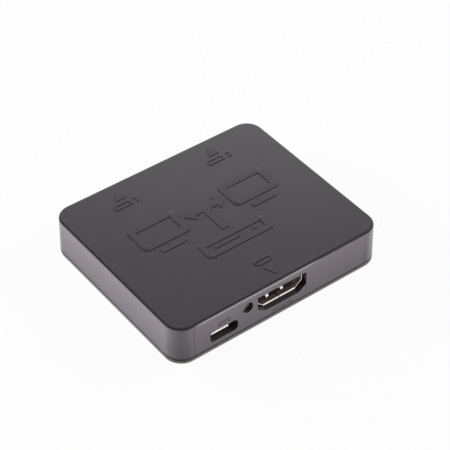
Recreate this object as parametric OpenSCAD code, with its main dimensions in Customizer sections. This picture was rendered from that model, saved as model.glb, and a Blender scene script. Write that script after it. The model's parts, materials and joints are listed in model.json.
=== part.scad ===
// Video splitter box: one socket in, two sockets out, powered through a small socket beside the input.
// Origin at the middle of the underside, +X along the input face, -Y out of it, +Z up. Millimetres.

/* [Case] */
// Width at the base
case_w = 65; // [60:0.5:80]
// Depth at the base, from the input face to the output face
case_d = 55; // [53:0.5:70]
// Overall height
case_h = 12; // [11:0.1:16]
// Corner radius seen from above, at the base
corner_r = 5; // [4:0.25:8]
// Rounding of the top edge
edge_r = 0.6; // [0.3:0.1:1]
// Rounding of the bottom edge
foot_r = 0.3; // [0.1:0.1:0.6]
// How far each side leans in from the base to the top
draft = 0.25; // [0.05:0.05:0.5]
// Side wall thickness at the top
wall_t = 1.5; // [1.2:0.1:2]
// Roof thickness
roof_t = 1.5; // [1.2:0.1:1.9]
// Plate thickness of the base cover
base_t = 1.3; // [1.1:0.1:1.6]
// Height of the shadow gap at the parting line
seam_h = 0.2; // [0.1:0.05:0.4]
// Depth of the shadow gap
seam_d = 0.5; // [0.3:0.1:0.8]
// Thickness of the locating lip on the base cover
lip_t = 1; // [0.8:0.1:1.2]
// Gap between the locating lip and the side walls
lip_gap = 0.15; // [0.1:0.05:0.3]
// Thickness of the hold-down ribs under the roof
rib_t = 0.8; // [0.6:0.1:1.2]
// Gap between a hold-down rib and the socket under it
rib_gap = 0.1; // [0.05:0.05:0.2]
// Distance between the two hold-down ribs over a socket
rib_pitch = 10; // [9:0.5:11]

/* [Screws] */
// Diameter of the screw thread
screw_d = 2; // [1.8:0.1:2.4]
// Length of the screw under its head
screw_len = 7; // [5.5:0.5:7.5]
// Diameter of the screw head
head_d = 3.6; // [3.2:0.1:4]
// Height of the screw head
head_h = 1.2; // [0.9:0.1:1.4]
// Depth of the screw head below the underside
head_sink = 0.2; // [0.1:0.05:0.4]
// Width of the cross recess in the head
cross_w = 0.5; // [0.4:0.1:0.7]
// Length of the cross recess
cross_l = 2; // [1.6:0.1:2.4]
// Depth of the cross recess
cross_h = 0.7; // [0.4:0.1:0.8]
// Radial gap round the head in its counterbore
head_gap = 0.3; // [0.2:0.05:0.4]
// Radial gap round the shank in the base cover and the board
shank_gap = 0.2; // [0.1:0.05:0.3]
// Radial gap round the thread in its post
thread_gap = 0.05; // [0.02:0.01:0.1]
// Diameter of the posts under the roof
post_d = 4.8; // [4.2:0.1:5.4]
// Diameter of the bosses on the base cover
boss_d = 5.4; // [5:0.1:6]
// Space between a post and the side walls
post_gap = 0.8; // [0.4:0.1:1.2]
// Thickness of the gussets from a post to the side walls
gusset_t = 1; // [0.8:0.1:1.4]
// Height of the gussets
gusset_h = 4; // [2:0.5:5]

/* [Board] */
// Thickness of the circuit board
board_t = 1.6; // [1.2:0.1:1.8]
// Part of the spare height in the case that lies under the board, the rest being over the sockets
under_board = 0.55; // [0.5:0.01:0.6]
// Gap between the board and the side walls
board_gap = 0.25; // [0.15:0.05:0.4]
// Gap round a leg in its slot through the board
slot_gap = 0.15; // [0.1:0.05:0.2]
// Length of a leg below the board
leg_tail = 0.5; // [0.3:0.1:0.8]

/* [Video sockets] */
// Distance from the side of the case to the middle of the output socket next to it
output_inset = 17.5; // [16:0.1:19]
// Distance from the inside of the wall back to every socket
setback = 0.1; // [0.05:0.05:0.3]
// Inside width of the mouth
video_w = 14; // [13.8:0.1:14.4]
// Inside height of the mouth
video_h = 4.55; // [4.4:0.05:4.75]
// Width of the slant at the two lower corners
video_slant_w = 2; // [1.6:0.1:2.4]
// Height of the slant at the two lower corners
video_slant_h = 1.75; // [1.4:0.05:2]
// Inside bend radius of the sheet
video_bend = 0.3; // [0.2:0.05:0.4]
// Thickness of the sheet
video_sheet = 0.3; // [0.2:0.05:0.35]
// Length of the metal shell
video_len = 11; // [10.4:0.1:12]
// Depth of the mouth in front of the plastic block
video_mouth = 8; // [7.4:0.1:8.4]
// Width of the butt seam along the underside of the shell
sheet_seam = 0.12; // [0.08:0.02:0.2]
// Gap at each side between a socket and its opening in the case
mouth_side_gap = 0.35; // [0.2:0.05:0.5]
// Gap above and below a socket in its opening
mouth_edge_gap = 0.12; // [0.05:0.01:0.2]
// Width of the slant at the lower corners of the opening
mouth_slant_w = 2.5; // [2:0.1:2.8]
// Height of the slant at the lower corners of the opening
mouth_slant_h = 1.5; // [1.2:0.1:1.8]
// Corner rounding of the opening
mouth_r = 0.25; // [0.1:0.05:0.4]
// Width of a spring finger in the floor and roof of the shell
finger_w = 1.6; // [1.2:0.1:2]
// Distance between the two fingers of a pair
finger_pitch = 4.8; // [4:0.1:5.2]
// Width of the spring finger in each side of the shell
side_finger_w = 1.1; // [0.9:0.1:1.3]
// Width of the cut round a finger
finger_slot = 0.25; // [0.15:0.05:0.3]
// Distance from the front edge to the tip of a finger
finger_tip = 1.2; // [1:0.1:1.4]
// Distance from the front edge to the crest of a finger
finger_crest = 2; // [1.8:0.1:2.4]
// Distance from the front edge to the root of a finger
finger_root = 6; // [5:0.1:6.6]
// Height of the crest above the sheet
finger_lift = 0.2; // [0.1:0.05:0.21]
// Width of a soldered leg of the shell
video_leg_w = 1.2; // [1:0.1:1.4]
// Distance from the front edge to the front legs
video_leg_front = 2.6; // [2.2:0.1:3]
// Distance from the front edge to the rear legs
video_leg_rear = 8.6; // [8:0.1:9.2]
// Thickness of the tongue
tongue_t = 1.25; // [1.1:0.05:1.4]
// Distance from the front edge to the tip of the tongue
tongue_tip = 1.9; // [1.7:0.1:2.2]
// Plastic beside the outermost contacts on the tongue
tongue_side = 0.9; // [0.6:0.1:1.2]
// Chamfer round the tip of the tongue
tongue_bevel = 0.25; // [0.1:0.05:0.3]
// Contacts in the upper row; the lower row has one fewer
video_contacts = 10; // [8:1:10]
// Distance between neighbouring contacts of a row
video_pitch = 1; // [0.9:0.05:1.05]
// Width of a contact
video_contact_w = 0.3; // [0.2:0.02:0.34]

/* [Contacts and fits] */
// Thickness of the contact strip
contact_t = 0.15; // [0.1:0.01:0.2]
// Distance from the tip of a tongue to its contacts
contact_inset = 0.5; // [0.3:0.1:0.8]
// Gap round a contact in its groove
groove_gap = 0.03; // [0.01:0.01:0.05]
// Gap between a plastic block and its metal shell
block_gap = 0.05; // [0.02:0.01:0.1]
// Gap between a plastic block and the contact legs behind it
leg_gap = 0.05; // [0.02:0.01:0.1]
// Length of a contact foot on the board
contact_foot = 0.9; // [0.6:0.1:1.1]

/* [Power socket] */
// Distance from the side of the case to the middle of the power socket
power_inset = 14.4; // [13.5:0.1:15]
// Inside width of the mouth
power_w = 6.9; // [6.7:0.05:7.1]
// Inside height of the mouth
power_h = 1.85; // [1.75:0.05:1.95]
// Width of the slant at the two lower corners
power_slant_w = 0.75; // [0.6:0.05:0.9]
// Height of the slant at the two lower corners
power_slant_h = 0.9; // [0.7:0.05:1]
// Inside bend radius of the sheet
power_bend = 0.2; // [0.1:0.05:0.3]
// Thickness of the sheet
power_sheet = 0.2; // [0.15:0.01:0.25]
// Length of the metal shell
power_len = 5; // [4.6:0.1:5.6]
// Depth of the mouth in front of the plastic block
power_mouth = 3.6; // [3.2:0.1:3.8]
// Reach of the lip that is turned down in front of the shell's floor
power_lip = 0.45; // [0.3:0.05:0.6]
// Drop of the lip's edge below the floor
power_lip_drop = 0.35; // [0.2:0.05:0.5]
// Thickness of the tongue
blade_t = 0.6; // [0.5:0.05:0.7]
// Gap between the tongue and the roof of the mouth
blade_top_gap = 0.3; // [0.2:0.05:0.4]
// Distance from the front edge to the tip of the tongue
blade_tip = 0.8; // [0.5:0.1:1]
// Plastic beside the outermost contacts on the tongue
blade_side = 0.4; // [0.3:0.05:0.5]
// Number of contacts
power_contacts = 5; // [4:1:5]
// Distance between neighbouring contacts
power_pitch = 0.65; // [0.6:0.01:0.7]
// Width of a contact
power_contact_w = 0.3; // [0.2:0.02:0.36]
// Width of a soldered leg of the shell
power_leg_w = 0.8; // [0.6:0.1:1]
// Distance from the front edge to the legs
power_leg_at = 2; // [1.9:0.1:2.6]
// Width of the opening in the case
inlet_w = 8.45; // [8:0.05:9]
// Distance from the board's face down to the lower edge of the opening
inlet_drop = 1.05; // [0.8:0.05:1.1]
// Gap above the socket in the opening
inlet_top_gap = 0.08; // [0.05:0.01:0.2]
// Corner rounding of the opening
inlet_r = 1; // [0.6:0.1:1.2]

/* [Status light] */
// Wall left between the opening of the input socket and the hole for the light
light_side_gap = 1.55; // [1.2:0.05:2]
// Gap between the collar of the light and the roof
light_roof_gap = 0.45; // [0.3:0.05:0.8]
// Diameter of the lens
light_d = 2.9; // [2.6:0.05:3]
// Diameter of the collar behind the lens
light_collar_d = 3.6; // [3.3:0.1:3.8]
// Thickness of the collar
light_collar_t = 1; // [0.8:0.1:1.2]
// Overall length of the lens and collar
light_len = 5.2; // [4.8:0.1:5.6]
// How far the dome reaches into the wall
light_poke = 0.2; // [0.1:0.05:0.4]
// Radial gap round the lens in the wall
light_gap = 0.05; // [0.03:0.01:0.1]
// Thickness of the square leads
light_lead_t = 0.5; // [0.4:0.05:0.55]
// Distance between the leads
light_lead_pitch = 2; // [1.8:0.1:2.2]
// Distance from the collar back to the bend of the leads
light_bend = 1; // [0.8:0.1:1.4]

/* [Chips] */
// Side of the square splitter chip
chip_side = 10; // [9:0.1:10.5]
// Height of the splitter chip's body
chip_h = 1.4; // [1:0.1:1.6]
// Leads along each side of the splitter chip
chip_leads = 16; // [12:1:16]
// Distance between neighbouring leads
chip_pitch = 0.5; // [0.45:0.01:0.54]
// Width of a chip lead
chip_lead_w = 0.22; // [0.16:0.02:0.26]
// Reach of a chip lead beyond the body
chip_lead_reach = 1; // [0.8:0.05:1.2]
// Thickness of every chip and regulator lead
lead_t = 0.15; // [0.1:0.01:0.2]
// Gap between a chip's body and the board
chip_stand = 0.1; // [0.05:0.01:0.15]
// Diameter of the dimple that marks the first lead
dimple_d = 0.9; // [0.6:0.1:1.2]
// Depth of the dimple
dimple_h = 0.1; // [0.05:0.01:0.15]
// Distance from the chip's corner to the dimple, along each side
dimple_inset = 1.2; // [1:0.1:1.5]
// Gap between the ring of ceramic capacitors and the memory chip
memory_gap = 4.95; // [4:0.05:6]
// Place of the memory chip from front to back
memory_y = 4; // [3:0.5:6]
// Length of the memory chip
memory_l = 4.9; // [4.6:0.1:5.2]
// Width of the memory chip
memory_w = 3.9; // [3.6:0.1:4.2]
// Height of the memory chip
memory_h = 1.5; // [1.3:0.1:1.7]
// Leads along each side of the memory chip
memory_leads = 4; // [3:1:4]
// Distance between neighbouring leads of the memory chip
memory_pitch = 1.27; // [1.2:0.01:1.3]
// Width of a memory chip lead
memory_lead_w = 0.4; // [0.3:0.02:0.46]
// Reach of a memory chip lead beyond the body
memory_lead_reach = 1.05; // [0.9:0.05:1.2]

/* [Power parts] */
// Gap between the bulk capacitors and the two regulators
regulator_gap = 0.25; // [0.2:0.05:1]
// Place of the first regulator from front to back
regulator_y = -10.5; // [-11:0.1:-10]
// Distance between the two regulators
regulator_pitch = 10; // [9:0.1:12]
// Length of a regulator's body
regulator_l = 6.5; // [6.2:0.1:6.8]
// Width of a regulator's body
regulator_w = 3.5; // [3.3:0.1:3.7]
// Height of a regulator's body
regulator_h = 1.6; // [1.4:0.1:1.8]
// Width of a regulator's wide tab
tab_w = 3; // [2.8:0.1:3.2]
// Width of a regulator's narrow leads
regulator_lead_w = 0.7; // [0.6:0.05:0.8]
// Distance between the narrow leads
regulator_lead_pitch = 2.3; // [2.1:0.1:2.4]
// Reach of a regulator's leads beyond the body
regulator_reach = 1.75; // [1.5:0.05:1.9]
// Gap between the bulk capacitors and the side of the board
bulk_edge = 1.2; // [0.8:0.1:1.6]
// Diameter of a bulk capacitor's can
bulk_d = 5; // [4:0.1:5.2]
// Overall height of a bulk capacitor
bulk_h = 5.4; // [4.6:0.1:5.5]
// Height of a bulk capacitor's plastic base
bulk_base_h = 0.8; // [0.6:0.1:1]
// How far the plastic base stands out round the can
bulk_rim = 0.15; // [0.1:0.05:0.3]
// Chamfer at two corners of the plastic base
bulk_bevel = 1; // [0.6:0.1:1.4]
// Rounding of the can's top edge
bulk_r = 0.4; // [0.2:0.1:0.6]
// Depth of the crimp round the can
crimp_d = 0.25; // [0.1:0.05:0.3]
// Width of the crimp
crimp_w = 0.6; // [0.4:0.1:0.8]
// Distance from the plastic base up to the crimp
crimp_at = 0.7; // [0.5:0.1:0.9]
// Width of a bulk capacitor's lead
bulk_lead_w = 0.8; // [0.6:0.1:1]
// How far a bulk capacitor's lead stands out of the base
bulk_lead_out = 0.6; // [0.4:0.1:0.8]
// Distance between the two leads under a bulk capacitor
bulk_lead_gap = 1.2; // [0.8:0.1:1.6]
// Length of the resettable fuse
fuse_l = 3.2; // [3:0.1:3.4]
// Width of the resettable fuse
fuse_w = 1.6; // [1.4:0.1:1.8]
// Height of the resettable fuse
fuse_h = 0.8; // [0.6:0.1:1]
// Gap between the power socket's contacts and the fuse
fuse_gap = 1; // [0.8:0.1:1.2]

/* [Crystal] */
// Gap between the ring of ceramic capacitors and the crystal's leads
crystal_gap = 1.1; // [0.8:0.1:2]
// Place of the crystal from front to back
crystal_y = -6; // [-7:0.1:-5]
// Length of the crystal's flange
crystal_l = 11; // [10.6:0.1:11.4]
// Width of the crystal's flange
crystal_w = 4.6; // [4.4:0.1:4.8]
// Height of the flange
crystal_flange_h = 0.4; // [0.3:0.05:0.6]
// Step from the flange in to the can
crystal_step = 0.4; // [0.3:0.05:0.6]
// Height of the can above the flange
crystal_can_h = 2.9; // [2.4:0.1:3.2]
// Height of the plastic carrier
carrier_h = 0.6; // [0.5:0.1:0.8]
// How far the carrier stands out round the flange
carrier_rim = 0.2; // [0.1:0.05:0.3]
// Width of a crystal lead
crystal_lead_w = 0.6; // [0.4:0.1:0.8]
// How far a crystal lead stands out of the carrier
crystal_lead_out = 0.6; // [0.4:0.1:0.8]
// Length of a crystal lead under the carrier
crystal_lead_in = 3; // [2:0.1:4]

/* [Small parts] */
// Length of a resistor or ceramic capacitor
small_l = 1.6; // [1.5:0.05:1.7]
// Width of a resistor or ceramic capacitor
small_w = 0.8; // [0.7:0.05:0.9]
// Height of a resistor
resistor_h = 0.45; // [0.35:0.05:0.55]
// Height of a ceramic capacitor
ceramic_h = 0.8; // [0.7:0.05:0.9]
// Length of each metal end
end_l = 0.3; // [0.2:0.05:0.4]
// Resistors in the row behind each video socket
row_count = 8; // [4:1:8]
// Distance between neighbours in a row
row_pitch = 1.3; // [1.1:0.05:1.5]
// Gap between a video socket's feet and the row behind it
row_gap = 0.8; // [0.6:0.1:1]
// Ceramic capacitors along each side of the splitter chip
ring_count = 3; // [2:1:4]
// Distance between neighbours along a side
ring_pitch = 2.4; // [2:0.1:2.6]
// Gap between the chip's leads and the capacitors
ring_gap = 0.8; // [0.5:0.1:1]

/* [Hidden] */
$fn = 48;

// Steps in each rounded edge or bend
arc_steps = 5;
// Overrun of a cut past the surface it opens
cut = 0.5;

plastic_black = [0.27, 0.26, 0.28];
board_black = [0.06, 0.06, 0.07];
nickel = [0.78, 0.77, 0.74];
socket_black = [0.08, 0.08, 0.08];
contact_gold = [0.83, 0.66, 0.28];
lens_frost = [0.78, 0.74, 0.76];
chip_black = [0.13, 0.13, 0.14];
tinned = [0.72, 0.73, 0.74];
can_silver = [0.8, 0.8, 0.82];
ceramic_tan = [0.62, 0.47, 0.33];
resistor_black = [0.1, 0.1, 0.11];
fuse_green = [0.16, 0.36, 0.2];
screw_black = [0.2, 0.2, 0.21];

lean = atan(draft / (case_h - base_t));
inner_w = case_w - 2 * (draft + wall_t);
inner_d = case_d - 2 * (draft + wall_t);
inner_r = corner_r - draft - wall_t;
video_out_w = video_w + 2 * video_sheet;
video_out_h = video_h + 2 * video_sheet;
roof_z = case_h - roof_t;
spare_h = roof_z - base_t - board_t - video_out_h;
board_z = base_t + under_board * spare_h;
board_top = board_z + board_t;
board_w = inner_w - 2 * board_gap;
board_d = inner_d - 2 * board_gap;
board_r = inner_r - board_gap;
lip_w = inner_w - 2 * lip_gap;
lip_d = inner_d - 2 * lip_gap;
lip_r = inner_r - lip_gap;
socket_y = inner_d / 2 - setback;

post_room = inner_r - post_d / 2 - post_gap;
post_shift = min(post_room, post_room / sqrt(2));
post_x = inner_w / 2 - inner_r + post_shift;
post_y = inner_d / 2 - inner_r + post_shift;
head_seat = head_sink + head_h;
screw_end = head_seat + screw_len;

video_mouth_outline = mouth_outline(video_w, video_h, video_slant_w, video_slant_h);
video_opening_w = video_out_w + 2 * mouth_side_gap;
output_pitch = case_w - 2 * output_inset;
video_back = video_len + leg_gap;
video_feet = video_back + contact_t + contact_foot;
tongue_w = (video_contacts - 1) * video_pitch + 2 * tongue_side;
tongue_z = video_sheet + video_h / 2 - tongue_t / 2;
side_finger_z = video_sheet + (video_slant_h + video_h) / 2;

power_x = power_inset - case_w / 2;
power_mouth_outline = mouth_outline(power_w, power_h, power_slant_w, power_slant_h);
power_back = power_len + leg_gap;
power_feet = power_back + contact_t + contact_foot;
blade_w = (power_contacts - 1) * power_pitch + 2 * blade_side;
blade_z = power_sheet + power_h - blade_top_gap - blade_t;

light_hole_d = light_d + 2 * light_gap;
light_x = -video_opening_w / 2 - light_side_gap - light_hole_d / 2;
light_z = roof_z - light_roof_gap - light_collar_d / 2;
light_front = -inner_d / 2 - light_poke;
light_back = light_front + light_len;
light_drop_y = light_back + light_bend;

row_y = socket_y - video_feet - row_gap - small_l / 2;
ring_at = chip_side / 2 + chip_lead_reach + ring_gap + small_w / 2;
ring_out = ring_at + small_w / 2;
memory_x = ring_out + memory_gap + memory_l / 2;
crystal_x = ring_out + crystal_gap + crystal_lead_out + carrier_rim + crystal_l / 2;
bulk_side = bulk_d + 2 * bulk_rim;
bulk_x = -board_w / 2 + bulk_edge + bulk_side / 2;
regulator_x = bulk_x + bulk_side / 2 + regulator_gap + regulator_l / 2;
fuse_y = -socket_y + power_feet + fuse_gap + fuse_w / 2;

function unit(v) = v / norm(v);
function opening_half(a, p, b) = acos(unit(a - p) * unit(b - p)) / 2;
function inward(a, p, b) = unit(unit(a - p) + unit(b - p));
function before(pts, i) = pts[(i + len(pts) - 1) % len(pts)];
function after(pts, i) = pts[(i + 1) % len(pts)];

// Points on an arc
function arc(c, r, from, to) = [
  for (i = [0:arc_steps])
    let (a = from + (to - from) * i / arc_steps)
    c + r * [cos(a), sin(a)]
];

// A convex, anticlockwise outline moved outward by t on every side
function grown(pts, t) = [
  for (i = [0:len(pts) - 1])
    let (a = before(pts, i), p = pts[i], b = after(pts, i))
    p - inward(a, p, b) * t / sin(opening_half(a, p, b))
];

// The same outline with every corner rounded
function rounded(pts, r) = [
  for (i = [0:len(pts) - 1])
    let (
      a = before(pts, i),
      p = pts[i],
      b = after(pts, i),
      half = opening_half(a, p, b),
      c = p + inward(a, p, b) * r / sin(half),
      start = p + unit(a - p) * r / tan(half) - c,
      from = atan2(start[1], start[0])
    )
    each arc(c, r, from, from + 180 - 2 * half)
];

// Mouth of a socket: flat floor, two slanted lower corners, straight sides
function mouth_outline(w, h, slant_w, slant_h) = [
  [w / 2, h],
  [-w / 2, h],
  [-w / 2, slant_h],
  [-w / 2 + slant_w, 0],
  [w / 2 - slant_w, 0],
  [w / 2, slant_h]
];

// A profile, drawn outward from the corner axis, carried round a rectangle with rounded corners
module swept(w, d, r) {
  for (side = [-1, 1]) {
    translate([0, side * (d / 2 - r), 0])
      rotate(side > 0 ? 0 : 180)
        rotate([90, 0, 90])
          linear_extrude(w - 2 * r, center = true)
            children();
    translate([side * (w / 2 - r), 0, 0])
      rotate(side > 0 ? -90 : 90)
        rotate([90, 0, 90])
          linear_extrude(d - 2 * r, center = true)
            children();
    for (end = [-1, 1])
      translate([side * (w / 2 - r), end * (d / 2 - r), 0])
        rotate(side > 0 ? (end > 0 ? 0 : 270) : (end > 0 ? 90 : 180))
          rotate_extrude(angle = 90)
            children();
  }
}

// A block with rounded corners, from z0 up to z1
module rounded_block(w, d, r, z0, z1) {
  swept(w, d, r)
    translate([0, z0])
      square([r, z1 - z0]);
  translate([-w / 2 + r, -d / 2 + r, z0])
    cube([w - 2 * r, d - 2 * r, z1 - z0]);
}

module at_posts() {
  for (x = [-post_x, post_x])
    for (y = [-post_y, post_y])
      translate([x, y, 0])
        children();
}

// Local frame of a socket: front edge at y = 0, y into the case, z from the board's face
module at_input() {
  translate([0, -socket_y, board_top])
    children();
}

module at_output(side) {
  translate([side * output_pitch / 2, socket_y, board_top])
    rotate(180)
      children();
}

module at_power() {
  translate([power_x, -socket_y, board_top])
    children();
}

module at_video_sockets() {
  at_input()
    children();
  for (side = [-1, 1])
    at_output(side)
      children();
}

// An upright outline carried along y, from y0 to y1
module along_y(y0, y1) {
  translate([0, y1, 0])
    rotate([90, 0, 0])
      linear_extrude(y1 - y0)
        children();
}

// A side view, drawn as depth and height, carried across x
module across_x(w) {
  rotate([90, 0, 90])
    linear_extrude(w, center = true)
      children();
}

// Upper half of the case
module shell_outside() {
  lean_at_edge = corner_r - (case_h - edge_r - base_t) * tan(lean);
  edge_centre = [lean_at_edge - edge_r / cos(lean), case_h - edge_r];
  swept(case_w, case_d, corner_r)
    polygon([
      [0, base_t],
      [corner_r, base_t],
      each arc(edge_centre, edge_r, lean, 90),
      [0, case_h]
    ]);
  translate([-case_w / 2 + corner_r, -case_d / 2 + corner_r, base_t])
    cube([case_w - 2 * corner_r, case_d - 2 * corner_r, case_h - base_t]);
}

module video_opening() {
  low = -mouth_edge_gap;
  outline = mouth_outline(
    video_opening_w,
    video_out_h + 2 * mouth_edge_gap,
    mouth_slant_w,
    mouth_slant_h
  );
  along_y(-setback - wall_t - draft - cut, cut)
    translate([0, low])
      polygon(rounded(outline, mouth_r));
}

module power_opening() {
  top = power_h + 2 * power_sheet + inlet_top_gap;
  half = inlet_w / 2;
  outline = [[half, top], [-half, top], [-half, -inlet_drop], [half, -inlet_drop]];
  along_y(-setback - wall_t - draft - cut, cut)
    polygon(rounded(outline, inlet_r));
}

module light_opening() {
  translate([light_x, -inner_d / 2 + cut, light_z])
    rotate([90, 0, 0])
      cylinder(d = light_hole_d, h = wall_t + draft + 2 * cut);
}

module hold_down_ribs() {
  low = video_out_h + rib_gap;
  for (side = [-1, 1])
    translate([side * rib_pitch / 2 - rib_t / 2, -setback - wall_t / 2, low])
      cube([rib_t, video_mouth + setback + wall_t / 2, roof_z - board_top - low + roof_t / 2]);
}

module screw_post() {
  reach = inner_w / 2 - post_x + wall_t / 2;
  difference() {
    union() {
      translate([0, 0, board_top])
        cylinder(d = post_d, h = roof_z + roof_t / 2 - board_top);
      translate([0, -gusset_t / 2, roof_z - gusset_h])
        cube([reach, gusset_t, gusset_h + roof_t / 2]);
      translate([-gusset_t / 2, 0, roof_z - gusset_h])
        cube([gusset_t, reach, gusset_h + roof_t / 2]);
    }
    translate([0, 0, board_top - cut])
      cylinder(d = screw_d + 2 * thread_gap, h = screw_end + cut - board_top + cut);
  }
}

module top_shell() {
  color(plastic_black) {
    difference() {
      shell_outside();
      rounded_block(inner_w, inner_d, inner_r, base_t - cut, roof_z);
      difference() {
        rounded_block(case_w + 2 * cut, case_d + 2 * cut, corner_r + cut, base_t - cut, base_t + seam_h);
        rounded_block(
          case_w - 2 * seam_d, case_d - 2 * seam_d, corner_r - seam_d,
          base_t - 2 * cut, base_t + seam_h + cut
        );
      }
      at_video_sockets()
        video_opening();
      at_power()
        power_opening();
      light_opening();
    }
    at_video_sockets()
      hold_down_ribs();
    for (x = [0, 1])
      for (y = [0, 1])
        mirror([x, 0, 0])
          mirror([0, y, 0])
            translate([post_x, post_y, 0])
              screw_post();
  }
}

// Lower cover that closes the case
module base_cover() {
  color(plastic_black)
    difference() {
      union() {
        swept(case_w, case_d, corner_r)
          polygon([
            [0, 0],
            each arc([corner_r - foot_r, foot_r], foot_r, -90, 0),
            [corner_r, base_t],
            [0, base_t]
          ]);
        translate([-case_w / 2 + corner_r, -case_d / 2 + corner_r, 0])
          cube([case_w - 2 * corner_r, case_d - 2 * corner_r, base_t]);
        difference() {
          rounded_block(lip_w, lip_d, lip_r, base_t / 2, board_z);
          rounded_block(
            lip_w - 2 * lip_t, lip_d - 2 * lip_t, lip_r - lip_t,
            base_t / 4, board_z + cut
          );
        }
        at_posts()
          translate([0, 0, base_t / 2])
            cylinder(d = boss_d, h = board_z - base_t / 2);
      }
      at_posts() {
        translate([0, 0, -cut])
          cylinder(d = head_d + 2 * head_gap, h = head_seat + cut);
        translate([0, 0, -cut])
          cylinder(d = screw_d + 2 * shank_gap, h = board_z + 2 * cut);
      }
    }
}

module case_screws() {
  color(screw_black)
    at_posts()
      difference() {
        union() {
          translate([0, 0, head_sink])
            cylinder(d = head_d, h = head_h);
          translate([0, 0, head_sink])
            cylinder(d = screw_d, h = screw_end - head_sink);
        }
        for (a = [0, 90])
          rotate(a)
            translate([-cross_l / 2, -cross_w / 2, head_sink - cut])
              cube([cross_l, cross_w, cross_h + cut]);
      }
}

module leg_slots(out_w, sheet, leg_w, places) {
  for (side = [-1, 1])
    for (y = places)
      translate([side * (out_w - sheet) / 2, y, -board_t / 2])
        cube([sheet + 2 * slot_gap, leg_w + 2 * slot_gap, board_t + 2 * cut], center = true);
}

module circuit_board() {
  color(board_black)
    difference() {
      rounded_block(board_w, board_d, board_r, board_z, board_top);
      at_posts()
        translate([0, 0, board_z - cut])
          cylinder(d = screw_d + 2 * shank_gap, h = board_t + 2 * cut);
      at_video_sockets()
        leg_slots(video_out_w, video_sheet, video_leg_w, [video_leg_front, video_leg_rear]);
      at_power()
        leg_slots(power_w + 2 * power_sheet, power_sheet, power_leg_w, [power_leg_at]);
      for (side = [-1, 1])
        translate([light_x + side * light_lead_pitch / 2, light_drop_y, board_z - cut])
          cylinder(d = light_lead_t * sqrt(2) + 2 * slot_gap, h = board_t + 2 * cut);
    }
}

// Sheet metal tube of a socket, with its floor on the board
module socket_tube(mouth, sheet, bend, length) {
  along_y(0, length)
    translate([0, sheet])
      difference() {
        polygon(rounded(grown(mouth, sheet), bend + sheet));
        polygon(rounded(mouth, bend));
      }
}

// Spring finger in the plane z = 0 of a sheet that lies below it
module spring_finger(w, sheet) {
  across_x(w)
    polygon([
      [finger_root + finger_slot, 0],
      [finger_root, 0],
      [finger_crest, finger_lift],
      [finger_tip, 0],
      [finger_tip, -sheet],
      [finger_crest, finger_lift - sheet],
      [finger_root, -sheet],
      [finger_root + finger_slot, -sheet]
    ]);
}

module finger_window(w, sheet) {
  translate([-w / 2 - finger_slot, finger_tip - finger_slot, -sheet - cut])
    cube([w + 2 * finger_slot, finger_root - finger_tip + finger_slot, sheet + 2 * cut]);
}

// Carries a finger or its window to the floor, the roof and both sides of a video shell
module at_floor_and_roof() {
  for (x = [-finger_pitch / 2, finger_pitch / 2]) {
    translate([x, 0, video_sheet])
      children();
    translate([x, 0, video_sheet + video_h])
      rotate([0, 180, 0])
        children();
  }
}

module at_both_sides() {
  translate([video_w / 2, 0, side_finger_z])
    rotate([0, -90, 0])
      children();
  translate([-video_w / 2, 0, side_finger_z])
    rotate([0, 90, 0])
      children();
}

module shell_legs(out_w, sheet, leg_w, top, places) {
  for (side = [-1, 1])
    for (y = places)
      translate([side * (out_w - sheet) / 2 - sheet / 2, y - leg_w / 2, -board_t - leg_tail])
        cube([sheet, leg_w, board_t + leg_tail + top]);
}

module video_shell() {
  leg_top = video_sheet + video_slant_h + video_sheet;
  color(nickel) {
    difference() {
      socket_tube(video_mouth_outline, video_sheet, video_bend, video_len);
      at_floor_and_roof()
        finger_window(finger_w, video_sheet);
      at_both_sides()
        finger_window(side_finger_w, video_sheet);
      translate([-sheet_seam / 2, -cut, -cut])
        cube([sheet_seam, video_len + 2 * cut, video_sheet + 2 * cut]);
    }
    at_floor_and_roof()
      spring_finger(finger_w, video_sheet);
    at_both_sides()
      spring_finger(side_finger_w, video_sheet);
    shell_legs(video_out_w, video_sheet, video_leg_w, leg_top, [video_leg_front, video_leg_rear]);
  }
}

// Places the contacts of one row side by side
module contact_row(count, pitch) {
  for (i = [0:count - 1])
    translate([(i - (count - 1) / 2) * pitch, 0, 0])
      children();
}

// Groove on a tongue that runs on as a tunnel through the block behind it
module contact_groove(w, z, tip, length) {
  translate([-w / 2 - groove_gap, tip + contact_inset - groove_gap, z - groove_gap])
    cube([w + 2 * groove_gap, length, contact_t + 2 * groove_gap]);
}

// One contact: a strip along the tongue, a leg behind the block and a foot on the board
module contact(w, z, tip, back) {
  across_x(w)
    polygon([
      [tip + contact_inset, z],
      [back, z],
      [back, 0],
      [back + contact_t + contact_foot, 0],
      [back + contact_t + contact_foot, contact_t],
      [back + contact_t, contact_t],
      [back + contact_t, z + contact_t],
      [tip + contact_inset, z + contact_t]
    ]);
}

module video_block() {
  upper = tongue_z + tongue_t - contact_t;
  color(socket_black)
    difference() {
      union() {
        along_y(video_mouth, video_len)
          translate([0, video_sheet])
            polygon(rounded(grown(video_mouth_outline, -block_gap), video_bend));
        across_x(tongue_w)
          polygon([
            [tongue_tip, tongue_z + tongue_bevel],
            [tongue_tip + tongue_bevel, tongue_z],
            [video_mouth + cut, tongue_z],
            [video_mouth + cut, tongue_z + tongue_t],
            [tongue_tip + tongue_bevel, tongue_z + tongue_t],
            [tongue_tip, tongue_z + tongue_t - tongue_bevel]
          ]);
      }
      contact_row(video_contacts, video_pitch)
        contact_groove(video_contact_w, upper, tongue_tip, video_len);
      contact_row(video_contacts - 1, video_pitch)
        contact_groove(video_contact_w, tongue_z, tongue_tip, video_len);
    }
}

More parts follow.
